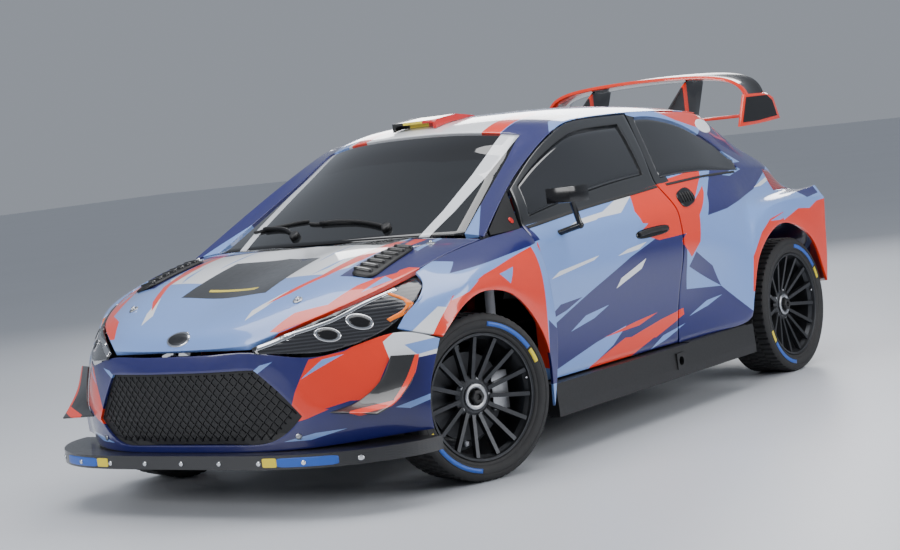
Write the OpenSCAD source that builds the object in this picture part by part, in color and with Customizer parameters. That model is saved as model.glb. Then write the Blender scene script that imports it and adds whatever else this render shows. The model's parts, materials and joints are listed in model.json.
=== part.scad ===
// Three-door rally car, built as separate panels, glass, cabin, running gear and wheels.
// Frame: origin on the ground at the middle of the car, +Z up, front towards -Y, the car's left towards +X.

/* [Overall] */
// Height of the roof's highest point
roof_h = 1398; // [1360:2:1430]
// Distance between the front and rear axles
wheelbase = 2570; // [2500:5:2640]
// Distance from the front axle forward to the splitter's lip
front_overhang = 790; // [740:5:820]
// Half the width over the wheel flares
flare_x = 937; // [925:1:955]

/* [Wheels] */
// Outside diameter of the tyre
tyre_d = 644; // [620:2:656]
// Width of the tyre
tyre_w = 230; // [200:2:236]
// Outside diameter of the rim
rim_d = 490; // [460:2:500]
// Number of spokes in each wheel
spokes = 15; // [10:1:18]
// Distance from the centre plane to the middle of each tyre
wheel_x = 800; // [780:1:802]
// Angle that both front wheels stand turned to the right
parked_steer = 18.5; // [0:0.5:24]
// Distance from the centre plane to the steering axis
kingpin_x = 750; // [740:1:760]
// Radius of the front wheel opening
front_arch_r = 392; // [380:1:400]
// Radius of the rear wheel opening
rear_arch_r = 395; // [385:1:402]
// Diameter of the brake discs
disc_d = 340; // [300:2:370]

/* [Panels] */
// Thickness of a door
door_t = 45; // [30:1:50]
// Thickness of the roof and its pillars
roof_t = 24; // [18:1:30]
// Thickness of the bonnet and tailgate
lid_t = 22; // [15:1:28]
// Thickness of the wings, flares and bumpers
skin_t = 12; // [8:1:16]
// Thickness of the glass
glass_t = 5; // [4:0.5:8]
// Gap around each door and lid
moving_gap = 7; // [5:0.5:9]
// Gap between fixed panels
fixed_gap = 0.6; // [0.4:0.1:0.9]

/* [Aero] */
// Height of the front splitter's edge
splitter_t = 52; // [36:1:56]
// Half the span of the rear wing
wing_x = 612; // [590:2:640]
// Thickness of the wing's planes
wing_t = 16; // [12:1:22]

/* [Mounts] */
// Radius of the bore in each side jacking socket
jack_r = 20; // [16:0.5:22]
// Depth of each side jacking socket
jack_len = 50; // [40:1:54]
// Radius of the hole in each towing eye
tow_r = 25; // [20:0.5:28]
// Thickness of each towing eye
tow_t = 14; // [10:1:16]

/* [Hidden] */
front_y = -2050;
front_axle = front_y + front_overhang;
rear_axle = front_axle + wheelbase;
axle_z = tyre_d/2;
arch_z = 332;
// The rear opening is centred a little ahead of the rear axle
rear_arch_y = rear_axle - 62;
half_gap = moving_gap/2;
half_fixed = fixed_gap/2;
tail_y = 2028;
// Side jacking socket: the middle of its square boss and how far out it stands
jack_at = [934, 140, 230];
// Undersides of the strut towers
tower_z = 790;
rear_tower_z = 820;
// Top of the floor, and the height that parts stand on it
floor_z = 184;
on_floor = floor_z + half_fixed;
// Stub axles, king pins and the running clearance round both
stub_r = 12.5;
kingpin_r = 9;
running = 0.05;
// Towing eyes: the middle of each hole
front_eye = [390, -1902, 445];
rear_eye = [0, 2006, 300];
// Front face of the bulkhead
bulkhead_y = -1010;
// The dashboard reaches almost to the roll cage
dash_x = 605.4;

// ---- curved surfaces: a net of points, smooth in both directions ----

function spline(a, b, c, d, t) = 0.5*(2*b + (c - a)*t + (2*a - 5*b + 4*c - d)*t*t + (3*b - a - 3*c +
    d)*t*t*t);
function along(P, s) = let (n = len(P) - 1, i = min(floor(s), n - 1), t = s - i,
    a = i > 0 ? P[i - 1] : 2*P[0] - P[1], d = i < n - 1 ? P[i + 2] : 2*P[n] - P[n - 1])
    spline(a, P[i], P[i + 1], d, t);
function on_net(N, u, v) = along([for (row = N) along(row, v)], u);
// Even steps from a to b
function steps(a, b, n) = [for (i = [0:n]) a + (b - a)*i/n];
function grid(N, us, vs) = [for (u = us) [for (v = vs) on_net(N, u, v)]];
// A whole row from its left half, given from the centre outwards
function whole(H) = let (n = len(H) - 1) concat([for (i = [n:-1:0]) H[i]], [for (i = [1:n]) flip_x(H[i])]);
function flip_x(p) = [-p[0], p[1], p[2]];
function unit(v) = v/max(norm(v), 1e-6);
function towards(p, q, d) = p + d*unit(q - p);
// Moves the four edges of a grid inwards: first and last row, then first and last column
function inset(G, a, b, c, d) = let (n = len(G) - 1, m = len(G[0]) - 1,
    R = [for (i = [0:n]) [for (j = [0:m]) i == 0 ? towards(G[0][j], G[1][j], a)
        : i == n ? towards(G[n][j], G[n - 1][j], b) : G[i][j]]])
    [for (i = [0:n]) [for (j = [0:m]) j == 0 ? towards(R[i][0], R[i][1], c)
        : j == m ? towards(R[i][m], R[i][m - 1], d) : R[i][j]]];
function facing(G, i, j) = let (n = len(G) - 1, m = len(G[0]) - 1)
    unit(cross(G[min(i + 1, n)][j] - G[max(i - 1, 0)][j], G[i][min(j + 1, m)] - G[i][max(j - 1, 0)]));
// The same grid, moved along its own normals
function sunk(G, t) = [for (i = [0:len(G) - 1]) [for (j = [0:len(G[0]) - 1]) G[i][j] - t*facing(G, i, j)]];
function part_of(G, i0, i1, j0, j1) = [for (i = [i0:i1]) [for (j = [j0:j1]) G[i][j]]];
function in_any(i, j, W) = len([for (w = W) if (i >= w[0] && i < w[1] && j >= w[2] && j < w[3]) 1]) > 0;

// The same, with its own thickness T[j] along each column
function sunk_by(G, T) = [for (i = [0:len(G) - 1])
    [for (j = [0:len(G[0]) - 1]) G[i][j] - T[j]*facing(G, i, j)]];

// A closed sheet between two grids. Each window [i0, i1, j0, j1] leaves those cells out.
module between(G, Q, windows = []) {
    n = len(G) - 1;
    m = len(G[0]) - 1;
    here = [for (i = [0:n - 1]) [for (j = [0:m - 1]) !in_any(i, j, windows)]];
    function kept(i, j) = i >= 0 && j >= 0 && i < n && j < m && here[i][j];
    function o(i, j) = i*(m + 1) + j;
    function q(i, j) = o(i, j) + (n + 1)*(m + 1);
    function wall(a, b, c, d) = [[a, b, c], [a, c, d]];
    quads = [for (i = [0:n - 1]) for (j = [0:m - 1]) if (here[i][j]) each concat(
        wall(o(i, j), o(i, j + 1), o(i + 1, j + 1), o(i + 1, j)),
        wall(q(i, j), q(i + 1, j), q(i + 1, j + 1), q(i, j + 1)),
        kept(i, j - 1) ? [] : wall(o(i, j), o(i + 1, j), q(i + 1, j), q(i, j)),
        kept(i, j + 1) ? [] : wall(o(i + 1, j + 1), o(i, j + 1), q(i, j + 1), q(i + 1, j + 1)),
        kept(i - 1, j) ? [] : wall(o(i, j + 1), o(i, j), q(i, j), q(i, j + 1)),
        kept(i + 1, j) ? [] : wall(o(i + 1, j), o(i + 1, j + 1), q(i + 1, j + 1), q(i + 1, j)))];
    polyhedron(points = concat([for (r = G) each r], [for (r = Q) each r]), faces = quads, convexity = 6);
}
module shell(G, t, windows = []) between(G, sunk(G, t), windows);
// Cuts the children back to a fixed gap from one face of a panel: above its outer face, or below its
// inner one
module resting_on(G) difference() {
    children();
    shell(sunk(G, -half_fixed), 90);
}
module hung_under(G, t) difference() {
    children();
    shell(sunk(G, -20), 20 + t + half_fixed);
}
module both_sides() {
    children();
    mirror([1, 0, 0]) children();
}
module on_side(side) {
    if (side == "left") children();
    else mirror([1, 0, 0]) children();
}

// ---- lines that panels share ----

roof_rise = roof_h - 1398;
// Door: front edge, rear edge, sill line and belt line
door_front = -785;
sill_z = 300;
belt = [[790, -765, 924], [800, -505, 946], [804, -240, 966], [806, 30, 986], [806, 294, 1003]];
door_top = [[701, -696, 1081], [661, -451, 1206 + roof_rise], [643, -214, 1300 + roof_rise],
    [636, -40, 1330 + roof_rise], [630, 388, 1330 + roof_rise]];
door_foot = [[868, door_front, sill_z], [872, -520, sill_z], [876, -250, sill_z], [880, 0, sill_z],
    [886, 215, sill_z]];
// The door skin between its foot and the belt
door_low = [for (i = [0:4]) let (f = door_foot[i], b = belt[i], w = i/4)
    [f, [f[0] - 10 + 4*w, f[1] + 40*w, 440], [f[0] - 8 + 14*w, f[1] + 78*w, 580],
    [f[0] + 10 + 16*w, f[1] + 100*w, 715], [f[0] - 2 + 16*w, f[1] + 108*w, 812 + 25*w],
    [f[0] - 12 + 12*w, f[1] + 100*w, 868 + 32*w], b]];
door_rise = [for (i = [0:4]) [belt[i], (belt[i] + door_top[i])/2 + [11, 0, 4], door_top[i]]];
function door_grid(nu) = let (us = steps(0, 4, nu), low = grid(door_low, us, steps(0, 6, 9)),
    up = grid(door_rise, us, [0.3, 1, 1.72, 2])) [for (i = [0:nu]) concat(low[i], up[i])];
door_panel = inset(door_grid(16), half_gap, half_gap + 5, half_gap, moving_gap + 1);
// The door is thinner round its glass
door_depth = [for (j = [0:13]) j < 10 ? door_t : door_t*[0.55, 0.5, 0.36, 0.13][j - 10]];
door_window = [1, 15, 10, 12];

// Bonnet rows from the nose to the cowl, left half from the centre outwards
bonnet_edge = [[348, -1985, 642], [475, -1886, 685], [596, -1778, 731], [694, -1604, 785], [742, -1430, 833],
    [765, -1200, 884], [784, -1040, 907]];
bonnet_net = [
    whole([[0, -2012, 632], [120, -2008, 633], [240, -2000, 636], bonnet_edge[0]]),
    whole([[0, -1968, 690], [160, -1960, 694], [325, -1932, 698], bonnet_edge[1]]),
    whole([[0, -1850, 745], [200, -1845, 754], [410, -1820, 758], bonnet_edge[2]]),
    whole([[0, -1670, 806], [240, -1665, 826], [490, -1645, 824], bonnet_edge[3]]),
    whole([[0, -1450, 862], [255, -1450, 886], [520, -1446, 874], bonnet_edge[4]]),
    whole([[0, -1270, 902], [262, -1268, 922], [530, -1250, 910], bonnet_edge[5]]),
    whole([[0, -1108, 930], [265, -1100, 938], [540, -1076, 930], bonnet_edge[6]])];

// Windscreen, pillars and roof, left half from the centre outwards
roof_net = [
    whole([[0, -1074, 938], [230, -1064, 938], [455, -1034, 936], [662, -984, 928], [776, -1014, 914]]),
    whole([[0, -835, 1088], [210, -826, 1086], [415, -790, 1080], [603, -705, 1076], [698, -702, 1088]]),
    whole([[0, -630, 1218], [195, -622, 1214], [380, -580, 1206], [560, -484, 1194], [660, -452, 1208]]),
    whole([[0, -430, 1336], [180, -420, 1334], [355, -385, 1322], [527, -312, 1292], [642, -215, 1302]]),
    whole([[0, -180, 1388], [178, -176, 1386], [350, -162, 1378], [520, -110, 1352], [636, -40, 1331]]),
    whole([[0, 385, 1398], [176, 385, 1396], [345, 385, 1388], [510, 385, 1368], [630, 388, 1334]]),
    whole([[0, 800, 1374], [172, 800, 1372], [338, 798, 1364], [500, 796, 1346], [612, 820, 1318]]),
    whole([[0, 1188, 1334], [165, 1184, 1332], [325, 1172, 1325], [480, 1150, 1312], [586, 1112, 1293]])];
function lifted(N) = [for (i = [0:len(N) - 1]) [for (p = N[i]) p + [0, 0, i < 2 ? 0 : roof_rise]]];
roof_grid = inset(grid(lifted(roof_net), concat(steps(0, 3, 8), steps(3.4, 7, 8)),
    [0, 0.5, 1, 2, 3, 4, 5, 6, 7, 7.5, 8]),
    0, 0, half_fixed, half_fixed);
// The pillars and rails are thin at their outer edges
roof_depth = [for (j = [0:10]) roof_t*[0.12, 0.6, 1][min(j, 10 - j, 2)]];
windscreen_window = [0, 8, 2, 8];

// Quarter panel: belt, window top and outer edge, from the door to the tail
quarter_up = [
    [[806, 294, 1003], [641, 388, 1308], [630, 388, 1315 + roof_rise]],
    [[812, 520, 1010], [648, 585, 1301], [622, 600, 1316.5 + roof_rise]],
    [[810, 760, 1008], [668, 812, 1250], [609, 840, 1312 + roof_rise]],
    [[802, 950, 1001], [706, 1018, 1145], [588, 1112, 1286 + roof_rise]],
    [[790, 1110, 995], [758, 1122, 1050], [615, 1240, 1200]],
    [[765, 1320, 986], [748, 1326, 1014], [658, 1368, 1098]],
    [[735, 1520, 968], [728, 1524, 980], [702, 1540, 1000]],
    [[698, 1655, 905], [692, 1656, 912], [682, 1660, 924]]];
function on_arch(y, r, a) = [flare_x, y + r*cos(a), arch_z + r*sin(a)];
function rear_lip(a) = on_arch(rear_arch_y, rear_arch_r, a);
// Each column runs from the foot or wheel opening up to the belt
quarter_low = [
    [[886, 215, sill_z], [874, 260, 440], [886, 292, 580], [912, 315, 715], [898, 322, 837],
        [886, 315, 900], [806, 294, 1003]],
    [[895, 500, sill_z], [888, 505, 440], [895, 510, 580], [915, 515, 715], [902, 518, 840],
        [884, 519, 906], [812, 520, 1010]],
    [[930, 800, sill_z + 12], [926, 796, 440], [924, 790, 580], [922, 782, 715], [898, 774, 838],
        [870, 766, 906], [810, 760, 1008]],
    [rear_lip(168), [934, 872, 520], [932, 885, 620], [918, 905, 742], [884, 925, 838], [858, 938, 900],
        [802, 950, 1001]],
    [rear_lip(135), [937, 972, 676], [934, 985, 740], [918, 1005, 802], [868, 1035, 846],
        [836, 1068, 896], [790, 1110, 995]],
    [rear_lip(95), [938, 1228, 760], [936, 1240, 796], [926, 1256, 838], [846, 1278, 852],
        [806, 1298, 892], [765, 1320, 986]],
    [rear_lip(48), [938, 1520, 680], [937, 1530, 745], [930, 1540, 850], [828, 1540, 852],
        [778, 1534, 885], [735, 1520, 968]],
    [rear_lip(9), [936, 1668, 520], [935, 1680, 660], [930, 1690, 854], [812, 1672, 850],
        [752, 1660, 868], [698, 1655, 905]]];
function quarter_grid(nu) = let (us = steps(0, 7, nu), low = grid(quarter_low, us, steps(0, 6, 9)),
    up = grid(quarter_up, us, [0.06, 0.55, 1, 1.5, 2])) [for (i = [0:nu]) concat(low[i], up[i])];
quarter_panel = inset(quarter_grid(28), half_gap, 0, 0, 2);
// The quarter panel is thin along the roof rail
quarter_depth = [for (j = [0:14]) j < 13 ? skin_t : j == 13 ? 8 : 3];
quarter_window = [1, 16, 10, 12];
lamp_window = [22, 27, 7, 9];
quarter_inner = sunk_by(quarter_panel, quarter_depth);

// Front fender: each column runs from the wheel opening up to the bonnet and belt
// The front flare turns in towards the nose
function turn_in(y) = 34*pow(max(0, (front_axle - 110 - y)/280), 2);
function front_lip(a) = let (p = on_arch(front_axle, front_arch_r, a)) p - [turn_in(p[1]), 0, 0];
fender_net = [
    [front_lip(138), [862, -1609, 619], [788, -1650, 648], [826, -1568, 722], [808, -1478, 784],
        bonnet_edge[4] + [6, -16, -4]],
    [front_lip(112), [933, -1436, 720], [914, -1450, 752], [872, -1436, 784], [812, -1398, 822],
        [752, -1350, 855]],
    [front_lip(88), [938, -1250, 745], [928, -1252, 788], [896, -1240, 824], [835, -1225, 858],
        bonnet_edge[5] + [4, 0, 0]],
    [front_lip(58), [939, -1060, 700], [932, -1050, 764], [902, -1040, 830], [850, -1034, 877],
        [790, -1030, 908]],
    [front_lip(20), [939, -872, 560], [936, -862, 690], [914, -858, 800], [864, -862, 880], [795, -880, 917]],
    [front_lip(-18), [939, -822, 420], [937, -812, 600], [916, -806, 765], [868, -796, 868],
        [796, -774, 924]]];
fender_panel = inset(grid(fender_net, steps(0, 5, 20), steps(0, 5, 8)), half_fixed, half_gap, 0,
    half_gap + 1);

// Front bumper rows from the lower lip to the bonnet and lamps, columns from the centre outwards
bumper_net = [
    whole([[0, -1985, 240.6], [190, -1982, 240.6], [375, -1966, 241], [556, -1905, 245], [690, -1812, 252],
        [808, -1704, 259], front_lip(190)]),
    whole([[0, -1992, 268], [192, -1988, 268], [385, -1972, 268], [570, -1906, 290], [704, -1812, 300],
        [820, -1704, 305], front_lip(182)]),
    whole([[0, -2012, 366], [262, -2002, 366], [525, -1934, 366], [628, -1876, 390], [730, -1798, 400],
        [826, -1702, 405], front_lip(167)]),
    whole([[0, -2026, 550], [182, -2022, 550], [365, -1992, 550], [518, -1932, 530], [664, -1832, 520],
        [808, -1690, 525], front_lip(148)]),
    whole([[0, -2020, 620], [182, -2014, 620], [352, -1994, 624], [500, -1936, 592], [622, -1852, 581],
        [786, -1662, 640], [918, -1566, 592]])];
bumper_grid = inset(grid(bumper_net, [0, 1, 1.5, 2, 2.5, 3, 3.5, 4],
    concat(steps(0, 4, 8), steps(4.5, 8, 7), steps(8.5, 12, 7))),
    0, half_fixed + 5.5, 0, 0);
grille_window = [1, 5, 8, 16];

// Headlight: its upper edge, middle and lower edge from the inner tip to the rear tip
lamp_net = [
    [[362, -1984, 634], [482, -1890, 678], [602, -1786, 724], [702, -1622, 772], [736, -1540, 790],
        [750, -1490, 800], [754, -1460, 803]],
    [[372, -1994, 620], [500, -1912, 640], [612, -1822, 658], [712, -1696, 698], [756, -1604, 738],
        [780, -1528, 772], [782, -1474, 792]],
    [[380, -1994, 608], [522, -1927, 597], [616, -1856, 589], [720, -1752, 616], [776, -1654, 656],
        [818, -1574, 722], [806, -1488, 778]]];

// Tailgate rows from the roof to the bumper, left half from the centre outwards
tailgate_net = [
    whole([[0, 1200, 1331], [195, 1195, 1329], [385, 1180, 1319], [568, 1136, 1288]]),
    whole([[0, 1360, 1250], [205, 1350, 1246], [410, 1322, 1228], [604, 1266, 1186]]),
    whole([[0, 1560, 1120], [215, 1548, 1114], [435, 1515, 1090], [658, 1450, 1044]]),
    whole([[0, 1735, 990], [222, 1725, 984], [445, 1690, 965], [668, 1612, 934]]),
    whole([[0, 1830, 925], [220, 1820, 920], [430, 1785, 905], [600, 1725, 885]]),
    whole([[0, 1878, 800], [218, 1868, 800], [420, 1835, 800], [560, 1792, 800]]),
    whole([[0, 1902, 692], [215, 1893, 692], [405, 1865, 692], [530, 1832, 692]])];
tailgate_grid = inset(grid(tailgate_net, steps(0, 6, 12), [0, 0.5, 1, 2, 3, 4, 5, 5.5, 6]),
    moving_gap, half_gap, half_gap, half_gap);
tailgate_window = [2, 6, 1, 7];

// Rear bumper rows from the tailgate down to the lower lip
rear_bumper_net = [
    whole([[0, 1920, 674], [215, 1912, 674], [440, 1886, 672], [632, 1790, 822], [835, 1702, 842]]),
    whole([[0, 1985, 668], [280, 1976, 668], [545, 1930, 690], [735, 1828, 770], [868, 1708, 790]]),
    whole([[0, tail_y + 18, 600], [300, tail_y + 10, 600], [575, 1992, 600], [765, 1888, 620],
        [880, 1708, 640]]),
    whole([[0, tail_y + 16, 480], [300, tail_y + 8, 480], [575, 1992, 480], [765, 1888, 480],
        [872, 1706, 480]]),
    whole([[0, 2005, 370], [300, 1996, 370], [560, 1955, 370], [740, 1868, 370], [862, 1706, 370]])];

// ---- sheet panels ----

module door_skin() color("lightsteelblue")
    between(door_panel, sunk_by(door_panel, door_depth), [door_window]);
module roof_panel() color("navy") between(roof_grid, sunk_by(roof_grid, roof_depth), [windscreen_window]);
module window_pane(G, W, depth) {
    P = inset(part_of(G, W[0], W[1], W[2], W[3]), fixed_gap, fixed_gap, fixed_gap, fixed_gap);
    shell(sunk(P, depth), glass_t);
}
module quarter_skin() color("orangered") between(quarter_panel, quarter_inner, [quarter_window, lamp_window]);
module fender_skin() color("orangered") shell(fender_panel, skin_t);
lamp_panel = inset(grid(lamp_net, steps(0, 2, 4), steps(0, 6, 12)), 4, 2, 3, 1);
lamp_t = 10;
// The lamp thins towards its inner tip
module headlight() color("dimgray")
    between(lamp_panel, sunk_by(lamp_panel, [for (j = [0:12]) min(lamp_t, 3 + 2*j)]));
module tail_lamps() color("darkred") both_sides() window_pane(quarter_panel, lamp_window, 1);
module quarter_glass() color("black") window_pane(quarter_panel, quarter_window, 3);
module door_glass() color("black") window_pane(door_panel, door_window, 6);
module tailgate_glass() color("black") window_pane(tailgate_grid, tailgate_window, 4);
module sail_skin() color("dimgray") {
    a = [772, -991, 913];
    b = [789, -776, 918];
    c = [699, -716, 1074.5];
    shell([for (s = steps(0.12, 1, 4)) [for (w = [0, 0.5, 1]) a + s*((1 - w)*b + w*c - a)]], skin_t);
}
module bonnet() color("lightsteelblue")
    shell(inset(grid(bonnet_net, steps(0, 6, 14), steps(0, 6, 14)), half_gap, half_gap, half_gap + 1,
        half_gap + 1), lid_t);
// The bumper is thin where it meets the flares
bumper_depth = [for (j = [0:24]) min(j, 24 - j) < 5 ? 4 : skin_t];
module front_bumper() color("navy") between(bumper_grid, sunk_by(bumper_grid, bumper_depth), [grille_window]);
module tailgate() color("lightsteelblue") shell(tailgate_grid, lid_t, [tailgate_window]);
// The rear bumper's ends share the rear edges of the quarter panels
function bumper_ends(N, edge) = [for (i = [0:len(N) - 1]) let (e = edge[len(N) - 1 - i] + [0, fixed_gap, 0])
    [for (j = [0:16]) j == 0 ? e : j == 16 ? flip_x(e) : N[i][j]]];
module rear_bumper() color("navy") {
    G = grid(rear_bumper_net, steps(0, 4, 6), steps(0, 8, 16));
    between(bumper_ends(G, quarter_panel[28]), bumper_ends(sunk(G, skin_t), quarter_inner[28]));
}

// ---- wheels and running gear ----

module lathe(points) rotate([0, 90, 0]) rotate_extrude($fn = 96) polygon(points);
// Wheel pieces lie along X round their own centre, with the outer face towards +X
module tyre() color([0.08, 0.08, 0.08]) {
    r = tyre_d/2;
    b = rim_d/2 + half_fixed;
    w = tyre_w/2;
    lathe([[b, -w + 18], [b + 16, -w + 6], [b + 40, -w], [r - 24, -w + 2], [r - 7, -w + 12], [r, -w + 30],
        [r, w - 30], [r - 7, w - 12], [r - 24, w - 2], [b + 40, w], [b + 16, w - 6], [b, w - 18]]);
}
module wheel() color([0.2, 0.2, 0.21]) {
    r = rim_d/2;
    w = tyre_w/2 - 14;
    difference() {
        union() {
            lathe([[r - 22, -w], [r, -w], [r - 1, w], [r - 10, w], [r - 13, w - 14], [r - 22, w - 30]]);
            translate([18, 0, 0]) lathe([[0, 0], [84, 0], [84, 22], [62, 34], [40, 34], [40, 26], [0, 26]]);
            for (i = [0:spokes - 1]) rotate([360*i/spokes, 0, 0]) translate([0, -8, 0])
                rotate([-90, 0, 0]) linear_extrude(16)
                    polygon([[22, -70], [50, -70], [w - 6, -r + 14], [w - 26, -r + 14]]);
        }
        rotate([0, 90, 0]) cylinder(h = 400, r = stub_r + running, center = true, $fn = 48);
    }
    // Brake disc, carried by the hub behind the spokes
    translate([-36, 0, 0]) rotate([0, 90, 0]) difference() {
        cylinder(d = disc_d, h = 30, $fn = 96);
        translate([0, 0, -1]) cylinder(d = 120, h = 32, $fn = 64);
    }
    translate([-36, 0, 0]) rotate([0, 90, 0]) difference() {
        cylinder(r = 62, h = 56, $fn = 64);
        translate([0, 0, -1]) cylinder(r = stub_r + running, h = 60, $fn = 48);
    }
}
// Steering knuckle with its stub axle, brake caliper and steering arm, round the wheel's own centre
module knuckle() color([0.35, 0.35, 0.37]) {
    rotate([0, 90, 0]) translate([0, 0, -110]) cylinder(r = stub_r, h = 150, $fn = 48);
    // King pin, just inboard of the disc
    translate([kingpin_x - wheel_x, 0, 0]) cylinder(r = kingpin_r, h = 400, center = true, $fn = 48);
    translate([-112, -45, -75]) cube([44, 90, 150]);
    translate([-50 - 34, -22, 60]) cube([30, 44, 70]);
    translate([-84, -150, -30]) cube([20, 110, 30]);
    color("firebrick") caliper();
}
// Brake caliper over the front or rear of the disc
module caliper() {
    r = disc_d/2;
    translate([-52, 0, 0]) difference() {
        translate([0, r - 55, -75]) cube([62, 75, 150]);
        translate([10, 0, 0]) rotate([0, 90, 0]) cylinder(r = r + 6, h = 42, $fn = 96);
    }
    translate([-80, r - 50, -40]) cube([28.5, 50, 80]);
    translate([-80, 40, -30]) cube([12, r - 85, 60]);
}
module at_front(side) {
    s = side == "left" ? 1 : -1;
    translate([s*kingpin_x, front_axle, axle_z]) rotate([0, 0, -parked_steer])
        translate([s*(wheel_x - kingpin_x), 0, 0])
        mirror([side == "left" ? 0 : 1, 0, 0]) children();
}
module at_rear(side) on_side(side) translate([wheel_x, rear_axle, axle_z]) children();
module rod(p, q, r) hull() {
    translate(p) sphere(r = r, $fn = 20);
    translate(q) sphere(r = r, $fn = 20);
}
// Eye of a front arm, turning on the king pin
module kingpin_eye(z) translate([kingpin_x, front_axle, z]) difference() {
    cylinder(r = 21, h = 18, $fn = 48);
    translate([0, 0, -1]) cylinder(r = kingpin_r + running, h = 20, $fn = 48);
}
// Both sides: lower arm, upper link and strut, with the subframe that carries them
module front_suspension() color([0.3, 0.3, 0.32]) {
    translate([-330, front_axle - 120, on_floor]) cube([660, 260, 66]);
    both_sides() {
        kingpin_eye(axle_z - 196);
        rod([315, front_axle - 90, 218], [704, front_axle, axle_z - 187], 14);
        rod([315, front_axle + 110, 218], [704, front_axle, axle_z - 187], 15);
        rod([704, front_axle, axle_z - 187], [732, front_axle, axle_z - 187], 7);
        kingpin_eye(axle_z + 178);
        rod([731, front_axle, axle_z + 187], [618, front_axle, axle_z + 187], 8.5);
        // Strut, up to its tower
        translate([618, front_axle, axle_z + 175]) sphere(r = 30, $fn = 24);
        rod([618, front_axle, axle_z + 175], [560, front_axle + 20, 750], 24);
        translate([560, front_axle + 20, 740]) cylinder(r = 42, h = tower_z - half_fixed - 740, $fn = 40);
    }
}
module rear_suspension() color([0.3, 0.3, 0.32]) {
    translate([-330, rear_axle - 120, on_floor]) cube([660, 240, 76]);
    both_sides() {
        rod([310, rear_axle - 80, 235], [660, rear_axle - 30, 250], 16);
        rod([310, rear_axle + 80, 235], [660, rear_axle + 30, 250], 16);
        translate([640, rear_axle - 50, 230]) cube([90, 100, 190]);
        translate([652, rear_axle, axle_z]) rotate([0, 90, 0]) cylinder(r = stub_r, h = 188, $fn = 48);
        rod([662, rear_axle + 10, 400], [566, rear_axle + 30, 790], 26);
        translate([560, rear_axle + 30, 770]) cylinder(r = 38, h = rear_tower_z - half_fixed - 770, $fn = 40);
        color("firebrick") translate([wheel_x, rear_axle, axle_z]) mirror([0, 1, 0]) caliper();
    }
}

// ---- body floor, aero and cabin ----

splitter_line = [for (s = steps(0, 8, 32)) along([
    [0, front_y], [300, front_y + 3], [500, front_y + 18], [650, front_y + 62],
    [765, front_y + 128], [850, front_y + 210], [905, front_y + 292], [928, front_y + 360],
        [932, front_y + 410]], s)];
module splitter() color([0.1, 0.1, 0.1]) translate([0, 0, 188]) {
    linear_extrude(splitter_t) both_halves(splitter_line,
        [[860, front_y + 412], [560, front_y + 412], [520, front_y + 500], [0, front_y + 500]]);
}
module both_halves(outer, inner) {
    half = concat(outer, inner);
    polygon(concat(half, [for (i = [len(half) - 2:-1:1]) [-half[i][0], half[i][1]]]));
}
module floor_pan() color([0.13, 0.13, 0.14]) {
    front = front_y + 524;
    translate([0, 0, floor_z - 18]) linear_extrude(18) both_halves(
        [[0, front], [505, front], [505, -1432], [345, -1432], [345, -1090], [505, -1090], [505, -850],
            [877.4, -850],
            [877.4, 820], [640, 830], [620, 1000], [620, 1640]],
        [[0, 1640]]);
    // Tongue that carries the splitter
    translate([-400, front - 110, floor_z - 8]) cube([800, 120, 11.7]);
    // Luggage floor behind the seats
    translate([-560, 700, floor_z - 4]) cube([1120, 20, 304]);
    translate([-560, 710, 464]) cube([1120, 910, 20]);
    // Crash beam
    translate([-456, -1850, 400]) cube([912, 22, 80]);
    both_sides() {
        translate([440, 0, 0]) rotate([90, 0, 90]) linear_extrude(16) polygon(apron);
        translate([450, front_axle - 80, tower_z]) cube([170, 200, 16]);
        // Brackets of the headlight and the wing
        hung_under(lamp_panel, lamp_t) translate([440, -1800, 470]) cube([178, 16, 220]);
        hung_under(fender_panel, skin_t) translate([600, front_axle - 10, tower_z]) cube([320, 60, 16]);
        translate([500, rear_axle - 70, 470]) cube([12, 180, rear_tower_z - 454]);
        translate([500, rear_axle - 70, rear_tower_z]) cube([104, 180, 16]);
    }
}
// Inner wing between the crash beam and the bulkhead: distance along the car, height
apron = [[-1850, 400], [-1500, 400], [-1470, 180], [-1434, 180], [-1410, 262], [-1112, 262], [-1088, 180],
    [bulkhead_y - fixed_gap, 180], [bulkhead_y - fixed_gap, 600], [-1150, tower_z + 16],
        [-1350, tower_z + 16],
    [-1420, 600], [-1500, 480], [-1850, 480]];
module towing_eyes() color("red") {
    towing_eye(front_eye, [[-1850.3, 405], [-1850.3, 475], [-1902, 485], [-1902, 405]]);
    towing_eye(rear_eye, [[1540, on_floor], [1638, on_floor], [1952, 258], [2006, 262], [2006, 338],
        [1600, 270]]);
}
// A plate on edge, with the hole for the shackle: its arm is given as distance along the car, height
module towing_eye(at, arm) translate([at[0] - tow_t/2, 0, 0]) rotate([90, 0, 90]) linear_extrude(tow_t)
    difference() {
    union() {
        polygon(arm);
        translate([at[1], at[2]]) circle(r = tow_r + 15, $fn = 64);
    }
    translate([at[1], at[2]]) circle(r = tow_r, $fn = 64);
}
module side_skirt() color([0.14, 0.14, 0.15]) {
    length = 1690;
    depth = 70;
    difference() {
        union() {
            translate([878, -850, 160]) rotate([-90, 0, 0]) linear_extrude(length)
                polygon([[0, -6], [0, -60], [-40, -130], [-34, -134], [46, -134], [52, -40], [52, 0],
                    [6, 0]]);
            // Ledge under the quarter panel
            translate([882, 240, 290]) cube([40, 540, 7.6]);
            // Square boss of the jacking socket
            translate([jack_at[0] - 52, jack_at[1] - depth/2, jack_at[2] - depth/2]) cube([52, depth, depth]);
        }
        translate(jack_at - [jack_len, 0, 0]) rotate([0, 90, 0])
            cylinder(r = jack_r, h = jack_len + 10, $fn = 48);
    }
}
module grille() color([0.04, 0.04, 0.04]) {
    P = inset(part_of(bumper_grid, grille_window[0], grille_window[1], grille_window[2],
        grille_window[3]), 1, 1, 1, 1);
    shell(sunk(P, 14), 6);
}
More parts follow.
